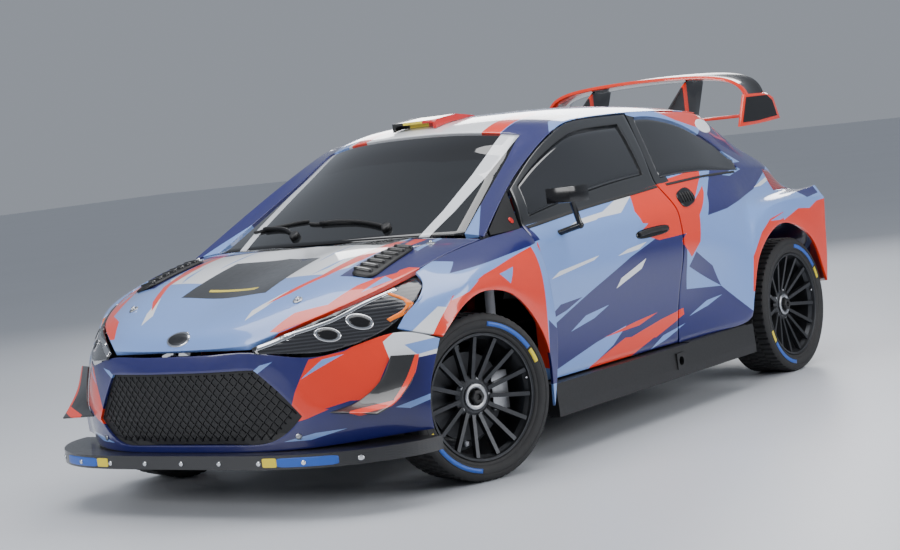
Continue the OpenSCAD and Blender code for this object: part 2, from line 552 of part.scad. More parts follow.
module windscreen() color([0.1, 0.12, 0.14]) window_pane(roof_grid, windscreen_window, 4);
module roof_scoop() color("black") {
    y = -352;
    z = 1354 + roof_rise;
    resting_on(roof_grid) difference() {
        hull() {
            translate([-120, y, z - 20]) cube([240, 12, 64]);
            translate([-118, y + 150, z]) cube([236, 12, 60]);
            translate([-96, y + 320, z + 14]) cube([192, 12, 30]);
        }
        translate([-104, y - 10, z - 30]) cube([208, 60, 62]);
    }
}
module dashboard() color([0.1, 0.1, 0.11]) {
    translate([-dash_x, -830, 640]) cube([2*dash_x, 270, 210]);
    translate([-300, bulkhead_y, 640]) cube([600, 200, 20]);
    translate([-500, bulkhead_y, on_floor]) cube([1000, 20, 700]);
}
module seat() color([0.12, 0.12, 0.13]) {
    translate([0, 0, on_floor]) cube([440, 480, 136]);
    translate([0, 440, 315]) rotate([-14, 0, 0]) cube([440, 90, 720]);
}
module seats() both_sides() translate([130, -120, 0]) seat();
// Hoop foot, hoop top, rear stay, roof corner, screen foot and floor foot of the cage
cage_foot_z = on_floor + 24;
cage_nodes = [[600, 290, cage_foot_z], [560, 330, 1250], [545, 940, 1190], [540, -230, 1235],
    [630, -800, 960],
    [620, -830, cage_foot_z]];
module roll_cage() color([0.85, 0.85, 0.86]) {
    tube = 20;
    both_sides() for (i = [0:len(cage_nodes) - 1]) {
        translate(cage_nodes[i]) sphere(r = tube + 4, $fn = 24);
        if (i < 2) rod(cage_nodes[i], cage_nodes[i + 1], tube);
        if (i > 2) rod(cage_nodes[i == 3 ? 1 : i - 1], cage_nodes[i], tube);
        if (i == 4) rod(cage_nodes[3], cage_nodes[4], tube);
    }
    for (i = [1, 3]) rod(flip_x(cage_nodes[i]), cage_nodes[i], tube);
}
module engine_block() color("gray") translate([-330, -1640, on_floor + 66.3]) cube([660, 380, 420]);
module diffuser() color([0.1, 0.1, 0.1])
    translate([-560, 1644.2, 167]) rotate([12, 0, 0]) difference() {
        cube([1120, 300, 16]);
        translate([546, 200, -4]) cube([28, 110, 30]);
    }
module mirror_unit() color([0.07, 0.07, 0.07]) {
    hull() {
        translate([880, -700, 1004]) cube([110, 40, 60]);
        translate([900, -660, 1000]) cube([100, 90, 64]);
    }
    translate([938, -560, 900]) sphere(r = 15, $fn = 24);
    rod([930, -600, 1020], [938, -560, 900], 12);
    resting_on(door_panel) rod([938, -560, 900], [820, -600, 868], 13);
}
// Half of the main plane's front edge: height over the ground at each distance from the centre
wing_line = [[0, 1503], [300, 1494], [460, 1474], [wing_x - 62, 1440], [wing_x - 20, 1390],
    [wing_x - 6, 1330]];
module rear_wing() color([0.1, 0.1, 0.1]) {
    top = whole([for (p = wing_line) [p[0], 0, p[1]]]);
    // The front edge sweeps back towards its ends
    G = [for (w = steps(0, 1, 4)) [for (s = steps(0, 10, 20))
        let (p = along(top, s), back = 72*pow(abs(p[0])/wing_x, 3))
        p + [0, 1570 + back + (250 - back)*w, -30*sin(160*w) - 16*(1 - w)]]];
    shell(G, wing_t);
    both_sides() {
        rotate([90, 0, 90]) translate([0, 0, wing_x - 12]) linear_extrude(12)
            polygon([[1512, 1196], [1700, 1197], [1953, 1212], [1900, 1320], [1836, 1352], [1588, 1352]]);
        resting_on(tailgate_grid) rotate([90, 0, 90]) translate([0, 0, 275]) linear_extrude(10)
            polygon([[1232, 1285], [1345, 1215], [1520, 1095], [1680, 1240], [1790, 1462], [1600, 1452],
                [1330, 1275],
                [1240, 1324]]);
    }
    translate([-wing_x + 6, 1580, 1240]) cube([2*wing_x - 12, 200, wing_t]);
}
// Dive planes on the bumper's corners
canard_net = [[[792, -1712, 549], [885, -1660, 545]], [[772, -1754, 470], [878, -1706, 458]],
    [[709, -1820, 402], [854, -1790, 392]], [[616, -1884, 372], [820, -1862, 361]]];
module canard() color([0.1, 0.1, 0.1]) shell(grid(canard_net, steps(0, 3, 9), steps(0, 1, 4)), 6);

// ---- which pieces are drawn ----

floor_pan();
roof_panel();
quarter_skin();  // quarter_panel_left
on_side("right") quarter_skin();  // quarter_panel_right
fender_skin();  // front_fender_left
on_side("right") fender_skin();  // front_fender_right
front_bumper();
grille();
splitter();
headlight();  // headlight_left
on_side("right") headlight();  // headlight_right
tail_lamps();
rear_bumper();
diffuser();
side_skirt();  // side_skirt_left
on_side("right") side_skirt();  // side_skirt_right
windscreen();
quarter_glass();  // quarter_glass_left
on_side("right") quarter_glass();  // quarter_glass_right
roof_scoop();
dashboard();
roll_cage();
seats();
engine_block();
front_suspension();
rear_suspension();
towing_eyes();
both_sides() sail_skin();  // sail_panels
both_sides() canard();  // canards
door_skin();  // door_left
on_side("right") door_skin();  // door_right
door_glass();  // door_glass_left
on_side("right") door_glass();  // door_glass_right
mirror_unit();  // mirror_left
bonnet();
tailgate();
tailgate_glass();
rear_wing();
at_front("left") knuckle();  // knuckle_left
at_front("right") knuckle();  // knuckle_right
at_front("left") wheel();  // wheel_front_left
at_front("right") wheel();  // wheel_front_right
at_rear("left") wheel();  // wheel_rear_left
at_rear("right") wheel();  // wheel_rear_right
at_front("left") tyre();  // tyre_front_left
at_front("right") tyre();  // tyre_front_right
at_rear("left") tyre();  // tyre_rear_left
at_rear("right") tyre();  // tyre_rear_right
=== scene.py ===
import json
import math

import bmesh
import bpy
from mathutils import Matrix, Vector
from mathutils.bvhtree import BVHTree


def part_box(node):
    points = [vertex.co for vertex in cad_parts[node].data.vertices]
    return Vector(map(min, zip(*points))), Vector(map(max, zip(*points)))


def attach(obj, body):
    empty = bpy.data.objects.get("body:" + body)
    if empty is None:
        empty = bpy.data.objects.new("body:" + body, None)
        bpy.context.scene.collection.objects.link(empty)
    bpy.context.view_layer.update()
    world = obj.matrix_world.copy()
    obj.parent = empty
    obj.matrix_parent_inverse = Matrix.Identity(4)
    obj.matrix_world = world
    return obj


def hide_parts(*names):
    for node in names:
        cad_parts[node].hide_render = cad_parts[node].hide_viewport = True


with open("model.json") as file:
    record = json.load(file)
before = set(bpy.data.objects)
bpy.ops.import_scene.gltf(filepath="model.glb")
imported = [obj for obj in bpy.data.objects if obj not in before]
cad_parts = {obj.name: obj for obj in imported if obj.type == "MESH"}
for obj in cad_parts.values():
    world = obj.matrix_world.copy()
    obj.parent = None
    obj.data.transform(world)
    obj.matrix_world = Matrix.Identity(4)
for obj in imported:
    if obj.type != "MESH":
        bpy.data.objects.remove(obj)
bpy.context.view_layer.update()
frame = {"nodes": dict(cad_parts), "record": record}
joints = {j["name"]: j for j in frame["record"]["behaviour"]["joints"]}

# ---- camera and studio ----
# A long lens looks at the nose from the car's left, tilted a little.
# The floor is a plain pale sheet under four soft boxes.

CAMERA_AT = Vector((5.397, -7.538, 1.339))
CAMERA_TURN, CAMERA_PITCH, CAMERA_ROLL = (math.radians(a) for a in (36.388, 4.017, -6.612))
UP = Vector((0, 0, 1))
back = Vector((math.sin(CAMERA_TURN) * math.cos(CAMERA_PITCH), -math.cos(CAMERA_TURN) * math.cos(CAMERA_PITCH),
               math.sin(CAMERA_PITCH)))
right = (-back).cross(UP).normalized()
up = right.cross(-back)
rolled = right * math.cos(CAMERA_ROLL) + up * math.sin(CAMERA_ROLL)
camera = bpy.data.objects.new("camera", bpy.data.cameras.new("camera"))
camera.data.lens, camera.data.sensor_width = 81.4, 36
turned = Matrix((rolled, back.cross(rolled), back)).transposed().to_4x4()
camera.matrix_world = Matrix.Translation(CAMERA_AT) @ turned
bpy.context.collection.objects.link(camera)
bpy.context.scene.camera = camera


def new_material(name, **sockets):
    """A principled material with these constants on its sockets, and a short way to add nodes."""
    material = bpy.data.materials.new(name)
    material.use_nodes = True
    shader = material.node_tree.nodes["Principled BSDF"]
    for socket, value in sockets.items():
        shader.inputs[socket.replace("_", " ")].default_value = value
    return material, material.node_tree, shader


def node(tree, kind, values=(), **settings):
    """Adds a node. Each value goes to an input: a socket is linked, anything else is a constant."""
    made = tree.nodes.new("ShaderNode" + kind)
    for key, value in settings.items():
        setattr(made, key, value)
    for slot, value in values:
        if isinstance(value, bpy.types.NodeSocket):
            tree.links.new(value, made.inputs[slot])
        else:
            made.inputs[slot].default_value = value
    return made


def grain(tree, scale, detail=3.0, roughness=0.55):
    """Fine noise fixed to the piece."""
    place = node(tree, "TexCoord")
    return node(tree, "TexNoise", [("Vector", place.outputs["Object"]), ("Scale", scale), ("Detail", detail),
                                   ("Roughness", roughness)]).outputs["Fac"]


def spread(tree, value, low, high):
    return node(tree, "MapRange", [("Value", value), ("To Min", low), ("To Max", high)]).outputs["Result"]


def bumped(tree, shader, height, strength, distance=0.001):
    bump = node(tree, "Bump", [("Height", height), ("Strength", strength), ("Distance", distance)])
    tree.links.new(bump.outputs["Normal"], shader.inputs["Normal"])


def two_tone(tree, share, first, second):
    """Mixes two colours, each of them plain or coming from a node."""
    return node(tree, "Mix", [("Factor", share), ("A", first), ("B", second)], data_type="RGBA").outputs["Result"]


def tinted(tree, shader, colour, amount, scale):
    """A colour that is a little lighter and darker from place to place."""
    dark = tuple(c * (1 - amount) for c in colour) + (1,)
    light = tuple(min(1, c * (1 + amount)) for c in colour) + (1,)
    tree.links.new(two_tone(tree, grain(tree, scale), dark, light), shader.inputs["Base Color"])


floor_finish, tree, shader = new_material("studio_floor", Roughness=0.38)
tinted(tree, shader, (0.62, 0.64, 0.68), 0.04, 0.6)
bpy.ops.mesh.primitive_plane_add(size=120)
floor = bpy.context.object
floor.name = "floor"
floor.data.materials.append(floor_finish)

world = bpy.data.worlds.new("studio")
world.use_nodes = True
sky_shader = world.node_tree.nodes["Background"]
sky_shader.inputs["Color"].default_value = (0.70, 0.76, 0.86, 1)
sky_shader.inputs["Strength"].default_value = 0.42
bpy.context.scene.world = world


def soft_box(name, at, aim, size, power):
    light = bpy.data.objects.new(name, bpy.data.lights.new(name, "AREA"))
    light.data.shape, light.data.size, light.data.size_y, light.data.energy = "RECTANGLE", size[0], size[1], power
    light.location = at
    light.rotation_euler = (Vector(aim) - Vector(at)).to_track_quat("-Z", "Y").to_euler()
    bpy.context.collection.objects.link(light)


soft_box("overhead_box", (0.5, -0.5, 5.2), (0, 0, 0.5), (7, 4), 360)
soft_box("left_box", (6.5, 0.5, 2.6), (0, 0, 0.7), (6, 2.2), 260)
soft_box("front_box", (-1.5, -7.5, 3.2), (0, -1, 0.6), (5, 2), 260)
soft_box("rear_box", (-3.5, 6.5, 3.6), (0, 1, 0.9), (5, 2.5), 260)

# ---- painted panels ----
# Carbon-reinforced and steel panels under a gloss clear coat, with the livery laid on as cut vinyl shapes.
# Each outer panel is the pressed sheet made smooth, with its edges turned by a fine radius.

SKY, NAVY, ORANGE = (0.19, 0.325, 0.70), (0.006, 0.008, 0.115), (0.80, 0.030, 0.003)
WHITE, BLACK, FRAME_BLACK = (0.76, 0.78, 0.82), (0.006, 0.006, 0.007), (0.014, 0.015, 0.017)
YELLOW, RED = (0.78, 0.62, 0.03), (0.62, 0.012, 0.010)
SIDES = (("left", 1), ("right", -1))


def inside(tree, point, corners):
    """1 inside a convex shape given by its corners, 0 outside it."""
    turning = sum(a[0] * b[1] - b[0] * a[1] for a, b in zip(corners, corners[1:] + corners[:1]))
    least = None
    for a, b in zip(corners, corners[1:] + corners[:1]):
        out = Vector((a[1] - b[1], b[0] - a[0])).normalized() * math.copysign(1, turning)
        away = node(tree, "VectorMath", [(0, point), (1, (out.x, out.y, -out.x * a[0] - out.y * a[1]))],
                    operation="DOT_PRODUCT").outputs["Value"]
        least = away if least is None else node(tree, "Math", [(0, least), (1, away)],
                                                operation="MINIMUM").outputs[0]
    return node(tree, "Math", [(0, least), (1, 0.0)], operation="GREATER_THAN").outputs[0]


def layered(tree, base, shapes, axes, mirrored):
    """The base colour under flat shapes, each seen square on along the axis that isn't named, and their masks."""
    parts = node(tree, "SeparateXYZ", [(0, node(tree, "TexCoord").outputs["Object"])])
    first = parts.outputs[axes[0]]
    if mirrored:
        first = node(tree, "Math", [(0, first)], operation="ABSOLUTE").outputs[0]
    point = node(tree, "CombineXYZ", [(0, first), (1, parts.outputs[axes[1]]), (2, 1.0)]).outputs[0]
    colour, masks = base + (1,), []
    for tint, corners in shapes:
        masks.append(inside(tree, point, corners))
        colour = two_tone(tree, masks[-1], colour, tint + (1,))
    return colour, masks


def painted(name, base, shapes, axes="YZ", mirrored=False):
    """Gloss paint with flat shapes of colour, fine flakes and a faint ripple."""
    material, tree, shader = new_material(name, Coat_Weight=1.0, Coat_Roughness=0.035, IOR=1.5)
    colour, _ = layered(tree, base, shapes, axes, mirrored)
    flakes = spread(tree, grain(tree, 1400, 1.0), 0.86, 1.14)
    shaded = node(tree, "VectorMath", [(0, colour), ("Scale", flakes)], operation="SCALE")
    tree.links.new(shaded.outputs[0], shader.inputs["Base Color"])
    tree.links.new(spread(tree, grain(tree, 35), 0.26, 0.4), shader.inputs["Roughness"])
    bumped(tree, shader, grain(tree, 120, 2.0), 0.03)
    return material


def dress(piece, body, slot, *replaced):
    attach(piece, body)
    if replaced:
        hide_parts(*replaced)
    return piece


SAME_POINT, FLAT_PAIR, SHARP_EDGE = 2e-5, math.radians(28), math.radians(32)


def smooth_panel(source, name, body, material, slot, rounding=0.0016, levels=2):
    """The CAD sheet as one smooth pressing: four-sided cells, creased edges, subdivisions, a fine edge radius."""
    sheet = bmesh.new()
    sheet.from_mesh(frame["nodes"][source].data)
    bmesh.ops.remove_doubles(sheet, verts=sheet.verts, dist=SAME_POINT)
    bmesh.ops.join_triangles(sheet, faces=sheet.faces, cmp_seam=False, cmp_sharp=False, cmp_uvs=False,
                             cmp_vcols=False, cmp_materials=False, angle_face_threshold=FLAT_PAIR,
                             angle_shape_threshold=math.radians(100))
    crease = sheet.edges.layers.float.new("crease_edge")
    for edge in sheet.edges:
        if len(edge.link_faces) != 2 or edge.calc_face_angle(0) > SHARP_EDGE:
            edge[crease] = 1.0
    mesh = bpy.data.meshes.new(name)
    sheet.to_mesh(mesh)
    sheet.free()
    piece = bpy.data.objects.new(name, mesh)
    bpy.context.collection.objects.link(piece)
    smoothing = piece.modifiers.new("pressing", "SUBSURF")
    smoothing.levels = smoothing.render_levels = levels
    if rounding:
        edges = piece.modifiers.new("edge_radius", "BEVEL")
        edges.width, edges.segments = rounding, 2
        edges.limit_method, edges.angle_limit = "ANGLE", math.radians(40)
        edges.harden_normals = False
    mesh.shade_smooth()
    mesh.materials.clear()
    mesh.materials.append(material)
    return dress(piece, body, slot, source)


# The roof and its pillars are one pressing, light blue with navy pillars and orange bands.
roof_shapes = [
    (WHITE, [(-0.62, 0.95), (-0.12, 0.66), (-0.05, 0.50), (-0.64, 0.62)]),
    (WHITE, [(-0.36, -0.46), (0.37, -0.46), (0.37, -0.20), (0.20, -0.06), (-0.36, -0.20)]),
    (ORANGE, [(0.37, -0.45), (0.45, -0.45), (0.44, -0.05), (0.40, 0.03), (0.37, 0.0)]),
    (ORANGE, [(-0.37, -0.45), (-0.26, -0.45), (-0.16, -0.30), (-0.30, -0.31)]),
    (ORANGE, [(-0.66, 0.02), (-0.42, 0.10), (-0.62, 0.14), (-0.66, 0.14)]),
    (NAVY, [(0.45, -0.50), (0.80, -1.10), (0.80, -0.20), (0.60, 0.02), (0.45, -0.02)]),
    (NAVY, [(-0.45, -0.50), (-0.80, -1.10), (-0.80, -0.20), (-0.66, 0.0), (-0.50, -0.25)]),
    (SKY, [(0.575, -0.16), (0.64, -0.26), (0.66, 0.05), (0.59, 0.02)]),
    (NAVY, [(0.50, 0.24), (0.52, 0.20), (0.64, -0.10), (0.64, -0.02)]),
    (ORANGE, [(0.25, 1.20), (0.66, 0.62), (0.66, 1.20)]),
    (SKY, [(0.44, 1.20), (0.61, 0.86), (0.61, 0.95), (0.49, 1.20)]),
    (ORANGE, [(0.37, 0.93), (0.38, 0.94), (0.55, 0.64), (0.545, 0.63)]),
    (ORANGE, [(-0.66, 1.15), (-0.66, 0.93), (-0.06, 0.64), (-0.08, 0.80), (-0.35, 0.93), (-0.56, 1.12)]),
    (NAVY, [(-0.60, 1.20), (-0.50, 1.09), (-0.09, 0.82), (-0.12, 0.93), (-0.40, 1.20)]),
    (NAVY, [(-0.13, 1.20), (-0.05, 1.05), (0.12, 0.81), (0.11, 0.86), (-0.02, 1.07), (-0.09, 1.20)]),
    (WHITE, [(-0.50, 1.14), (-0.16, 0.93), (-0.16, 0.95), (-0.46, 1.16)]),
]
smooth_panel("roof_panel", "roof_shell", "chassis", painted("roof_livery", SKY, roof_shapes, "XY"), "paint")

# The bonnet is a light pressing, white in the middle, with two outlet louvres and a black cowl.
bonnet_shapes = [
    (WHITE, [(0, -1.05), (0.47, -1.05), (0.47, -1.50), (0.40, -1.57), (0, -1.60)]),
    (SKY, [(0.235, -1.58), (0.25, -1.30), (0.24, -1.15), (0.265, -1.20), (0.262, -1.40)]),
    (SKY, [(0.33, -1.60), (0.37, -1.42), (0.385, -1.34), (0.375, -1.50)]),
    (WHITE, [(0.26, -1.84), (0.27, -1.90), (0.31, -1.82), (0.34, -1.70)]),
    (NAVY, [(0.48, -1.03), (0.82, -1.00), (0.82, -1.42), (0.66, -1.55), (0.49, -1.58)]),
    (ORANGE, [(0.44, -1.15), (0.49, -1.14), (0.475, -1.40), (0.425, -1.60), (0.40, -1.58)]),
    (ORANGE, [(0.40, -1.57), (0.43, -1.58), (0.36, -1.73), (0.29, -1.815), (0.335, -1.72)]),
    (ORANGE, [(0.50, -1.10), (0.56, -1.10), (0.555, -1.30), (0.53, -1.26)]),
    (SKY, [(0.595, -1.06), (0.62, -1.08), (0.63, -1.26), (0.605, -1.25)]),
    (ORANGE, [(0.76, -1.40), (0.76, -1.50), (0.62, -1.76), (0.54, -1.83), (0.60, -1.62), (0.70, -1.42)]),
    (ORANGE, [(0.60, -1.60), (0.58, -1.80), (0.44, -1.91), (0.29, -1.955), (0.46, -1.83)]),
    (SKY, [(0.66, -1.52), (0.70, -1.53), (0.64, -1.65)]),
    (NAVY, [(0.66, -1.34), (0.67, -1.33), (0.685, -1.48), (0.63, -1.56), (0.65, -1.46)]),
    (BLACK, [(0, -1.05), (0.48, -1.03), (0.44, -1.20), (0.38, -1.225), (0.20, -1.17), (0, -1.125)]),
    (BLACK, [(0, -1.285), (0.222, -1.36), (0.222, -1.71), (0, -1.71)]),
    (YELLOW, [(0, -1.625), (0.13, -1.635), (0.12, -1.655), (0, -1.645)]),
]
smooth_panel("bonnet", "bonnet_lid", "front_lid",
             painted("bonnet_livery", SKY, bonnet_shapes, "XY", mirrored=True), "paint")

# Doors, wings and rear quarters share one livery that runs along the side: light blue over navy, with orange.
side_shapes = [
    # front wing
    (NAVY, [(-1.44, 0.80), (-1.25, 0.808), (-0.86, 0.852), (-0.74, 0.862), (-0.74, 1.0), (-1.44, 1.0)]),
    (SKY, [(-1.47, 0.79), (-1.40, 0.80), (-1.30, 0.845), (-1.40, 0.87), (-1.50, 0.83)]),
    (WHITE, [(-1.66, 0.60), (-1.56, 0.58), (-1.48, 0.69), (-1.52, 0.70)]),
    (ORANGE, [(-1.60, 0.58), (-1.46, 0.73), (-1.22, 0.795), (-1.02, 0.825), (-0.86, 0.852), (-0.885, 0.40),
              (-1.60, 0.40)]),
    (SKY, [(-1.16, 0.775), (-1.05, 0.79), (-1.10, 0.73)]),
    (SKY, [(-1.47, 0.715), (-1.38, 0.735), (-1.30, 0.77), (-1.42, 0.76)]),
    (NAVY, [(-0.90, 0.30), (-0.80, 0.30), (-0.80, 0.50), (-0.875, 0.56), (-0.885, 0.42)]),
    # door
    (ORANGE, [(-0.79, 0.83), (-0.765, 0.86), (-0.765, 0.44), (-0.79, 0.30)]),
    (WHITE, [(-0.30, 0.905), (-0.10, 0.91), (0.06, 0.975), (-0.08, 0.965)]),
    (WHITE, [(-0.55, 0.885), (-0.30, 0.90), (-0.18, 0.93), (-0.40, 0.915)]),
    (WHITE, [(-0.72, 0.70), (-0.40, 0.74), (-0.36, 0.755), (-0.66, 0.725)]),
    (NAVY, [(-0.77, 0.495), (-0.42, 0.62), (-0.12, 0.72), (0.34, 0.84), (0.34, 0.29), (-0.77, 0.29)]),
    (NAVY, [(-0.78, 0.53), (-0.62, 0.56), (-0.50, 0.60), (-0.66, 0.59)]),
    (SKY, [(-0.77, 0.29), (-0.77, 0.33), (-0.42, 0.40), (-0.18, 0.435), (-0.30, 0.37), (-0.55, 0.29)]),
    (SKY, [(-0.60, 0.47), (-0.42, 0.50), (-0.30, 0.54), (-0.48, 0.52)]),
    (WHITE, [(-0.24, 0.60), (-0.04, 0.66), (0.0, 0.70), (-0.20, 0.64)]),
    (ORANGE, [(0.0, 0.905), (0.06, 0.99), (0.72, 1.04), (0.62, 0.93), (0.44, 0.80), (0.02, 0.85)]),
    (ORANGE, [(-0.14, 0.76), (-0.05, 0.80), (0.10, 0.86), (0.44, 0.82), (0.34, 0.70), (0.12, 0.765)]),
    (ORANGE, [(0.30, 0.74), (0.50, 0.86), (0.46, 0.72), (0.38, 0.66)]),
    (ORANGE, [(-0.66, 0.235), (-0.50, 0.31), (-0.20, 0.385), (0.06, 0.36), (-0.30, 0.275)]),
    (ORANGE, [(-0.20, 0.385), (0.10, 0.42), (0.58, 0.495), (0.36, 0.43), (0.04, 0.35)]),
    (ORANGE, [(-0.36, 0.41), (-0.10, 0.44), (0.08, 0.455), (-0.08, 0.42)]),
    (SKY, [(-0.02, 0.305), (0.12, 0.33), (0.30, 0.375), (0.10, 0.35)]),
    (WHITE, [(-0.14, 0.755), (0.02, 0.77), (-0.05, 0.745), (-0.22, 0.735)]),
    # rear quarter
    (NAVY, [(0.44, 0.80), (0.64, 0.92), (0.74, 1.045), (1.70, 1.02), (1.66, 0.90), (1.05, 0.86), (0.62, 0.74)]),
    (NAVY, [(0.30, 0.29), (0.30, 0.52), (0.50, 0.58), (0.62, 0.50), (0.88, 0.48), (0.90, 0.29)]),
    (NAVY, [(0.36, 0.62), (0.62, 0.50), (0.56, 0.60), (0.42, 0.68)]),
    (SKY, [(0.74, 0.845), (1.20, 0.90), (1.50, 0.94), (1.20, 0.875), (0.90, 0.835)]),
    (WHITE, [(1.20, 0.905), (1.52, 0.955), (1.56, 0.94), (1.30, 0.905)]),
    (SKY, [(0.48, 0.90), (0.60, 0.96), (0.68, 1.0), (0.66, 0.965)]),
    (SKY, [(0.90, 0.99), (1.10, 1.015), (1.14, 1.0), (0.98, 0.98)]),
    (NAVY, [(1.46, 0.86), (1.66, 0.875), (1.66, 0.83), (1.50, 0.82)]),
    (ORANGE, [(0.86, 0.44), (0.90, 0.60), (1.0, 0.70), (1.10, 0.755), (1.24, 0.775), (1.24, 0.40)]),
    (ORANGE, [(1.24, 0.40), (1.24, 0.775), (1.44, 0.785), (1.62, 0.83), (1.72, 0.80), (1.72, 0.38)]),
    (SKY, [(1.36, 0.78), (1.50, 0.80), (1.62, 0.80), (1.52, 0.765)]),
    (SKY, [(1.10, 0.745), (1.24, 0.772), (1.34, 0.76), (1.20, 0.74)]),
    (SKY, [(0.34, 0.40), (0.50, 0.45), (0.62, 0.46), (0.50, 0.425)]),
    # roof rail and rear pillar
    (ORANGE, [(0.62, 1.34), (0.80, 1.27), (1.02, 1.215), (1.20, 1.26), (1.20, 1.345)]),
    (NAVY, [(0.90, 1.18), (1.02, 1.215), (1.20, 1.25), (1.50, 1.08), (1.60, 0.98), (1.20, 1.03), (1.10, 1.08)]),
    (SKY, [(1.24, 1.24), (1.36, 1.20), (1.66, 0.99), (1.60, 0.97), (1.40, 1.10)]),
    # black window frames
    (FRAME_BLACK, [(-0.765, 0.925), (0.36, 1.003), (0.40, 1.34), (-0.05, 1.35), (-0.34, 1.30), (-0.74, 1.06)]),
    (FRAME_BLACK, [(0.34, 1.0), (0.405, 1.004), (0.475, 1.30), (0.38, 1.325)]),
]
side_paint = painted("side_livery", SKY, side_shapes, "YZ")
for side, _ in SIDES:
    smooth_panel("door_" + side, side + "_door_skin", side + "_door", side_paint, "paint")
    smooth_panel("front_fender_" + side, side + "_front_wing", "chassis", side_paint, "paint")
    smooth_panel("quarter_panel_" + side, side + "_rear_quarter", "chassis", side_paint, "paint")

# The front bumper is one moulding, navy, with orange and white corners.
bumper_shapes = [
    (SKY, [(0.33, 0.525), (0.39, 0.565), (0.44, 0.575), (0.37, 0.53)]),
    (ORANGE, [(0.47, 0.34), (0.505, 0.45), (0.56, 0.57), (0.66, 0.585), (0.66, 0.40), (0.54, 0.355)]),
    (ORANGE, [(0.66, 0.585), (0.78, 0.66), (0.79, 0.56), (0.75, 0.42), (0.66, 0.40)]),
    (ORANGE, [(0.60, 0.40), (0.74, 0.43), (0.75, 0.35), (0.70, 0.345)]),
    (NAVY, [(0.60, 0.385), (0.68, 0.405), (0.74, 0.40), (0.66, 0.375)]),
    (SKY, [(0.53, 0.50), (0.60, 0.54), (0.66, 0.575), (0.60, 0.565)]),
    (WHITE, [(0.76, 0.60), (0.80, 0.645), (0.95, 0.60), (0.95, 0.54), (0.79, 0.52)]),
    (SKY, [(0.82, 0.58), (0.95, 0.60), (0.95, 0.56), (0.86, 0.54)]),
    (NAVY, [(0.81, 0.48), (0.95, 0.54), (0.95, 0.30), (0.80, 0.34)]),
    (SKY, [(0.44, 0.275), (0.56, 0.30), (0.66, 0.305), (0.54, 0.275)]),
    (SKY, [(0.80, 0.36), (0.92, 0.40), (0.92, 0.38), (0.84, 0.35)]),
]
smooth_panel("front_bumper", "front_bumper_skin", "chassis",
             painted("bumper_livery", NAVY, bumper_shapes, "XZ", mirrored=True), "navy_paint")

# The tailgate is light blue with a navy lower half and orange corners; the rear bumper below it is navy.
tailgate_shapes = [
    (NAVY, [(0, 0.68), (0.62, 0.68), (0.70, 0.93), (0, 0.90)]),
    (ORANGE, [(0.42, 0.90), (0.70, 0.94), (0.64, 1.14), (0.60, 1.05)]),
    (ORANGE, [(0.34, 1.34), (0.60, 1.32), (0.62, 1.20), (0.56, 1.24)]),
    (SKY, [(0.12, 0.74), (0.40, 0.80), (0.50, 0.86), (0.22, 0.78)]),
    (WHITE, [(0.0, 0.885), (0.30, 0.91), (0.34, 0.93), (0.0, 0.91)]),
]
rear_shapes = [
    (ORANGE, [(0.70, 0.36), (0.95, 0.36), (0.95, 0.88), (0.80, 0.86)]),
    (SKY, [(0.30, 0.60), (0.56, 0.66), (0.70, 0.78), (0.62, 0.80), (0.42, 0.68)]),
    (SKY, [(0.66, 0.50), (0.80, 0.60), (0.84, 0.70), (0.74, 0.62)]),
    (BLACK, [(0, 0.36), (0.60, 0.36), (0.52, 0.455), (0, 0.455)]),
]
smooth_panel("tailgate", "tailgate_lid", "rear_gate",
             painted("tailgate_livery", SKY, tailgate_shapes, "XZ", mirrored=True), "paint")
smooth_panel("rear_bumper", "rear_bumper_skin", "chassis",
             painted("rear_bumper_livery", NAVY, rear_shapes, "XZ", mirrored=True), "navy_paint")

# ---- glass ----
# Tinted glass bonded into each opening.
# The windscreen has a black sun strip and border and two white bands of vinyl on it.


def tinted_glass(name, tint, see_through, shapes=(), axes="XY", mirrored=False):
    material, tree, shader = new_material(name, Roughness=0.02, IOR=1.45, Coat_Weight=1.0, Coat_Roughness=0.01)
    if shapes:
        colour, masks = layered(tree, tint, shapes, axes, mirrored)
        covered = 0.0
        for mask in masks:
            covered = node(tree, "Math", [(0, covered), (1, mask)], operation="MAXIMUM").outputs[0]
        tree.links.new(colour, shader.inputs["Base Color"])
        tree.links.new(spread(tree, covered, see_through, 0.0), shader.inputs["Transmission Weight"])
    else:
        tinted(tree, shader, tint, 0.1, 3)
        shader.inputs["Transmission Weight"].default_value = see_through
    bumped(tree, shader, grain(tree, 6, 1.0), 0.02)
    return material


windscreen_glass = tinted_glass("windscreen_glass", (0.020, 0.022, 0.025), 0.5, [
    (BLACK, [(0, -0.20), (0.60, -0.20), (0.60, -0.47), (0.30, -0.585), (0, -0.60)]),
    (BLACK, [(0, -1.10), (0.70, -1.10), (0.70, -0.97), (0.30, -1.02), (0, -1.045)]),
    (WHITE, [(0.448, -0.30), (0.525, -0.30), (0.536, -0.62), (0.474, -0.62)]),
    (WHITE, [(0.474, -0.62), (0.536, -0.62), (0.530, -0.86), (0.478, -0.86)]),
    (WHITE, [(0.478, -0.86), (0.530, -0.86), (0.500, -1.10), (0.458, -1.10)]),
], mirrored=True)
side_glass = tinted_glass("side_glass", (0.020, 0.022, 0.026), 0.35)
smooth_panel("windscreen", "windscreen_pane", "chassis", windscreen_glass, "clear_glass", rounding=0)
smooth_panel("tailgate_glass", "rear_window_pane", "rear_gate", side_glass, "dark_glass", rounding=0)
for side, _ in SIDES:
    smooth_panel("door_glass_" + side, side + "_door_pane", side + "_door", side_glass, "dark_glass", rounding=0)
    smooth_panel("quarter_glass_" + side, side + "_quarter_pane", "chassis", side_glass, "dark_glass",
                 rounding=0)

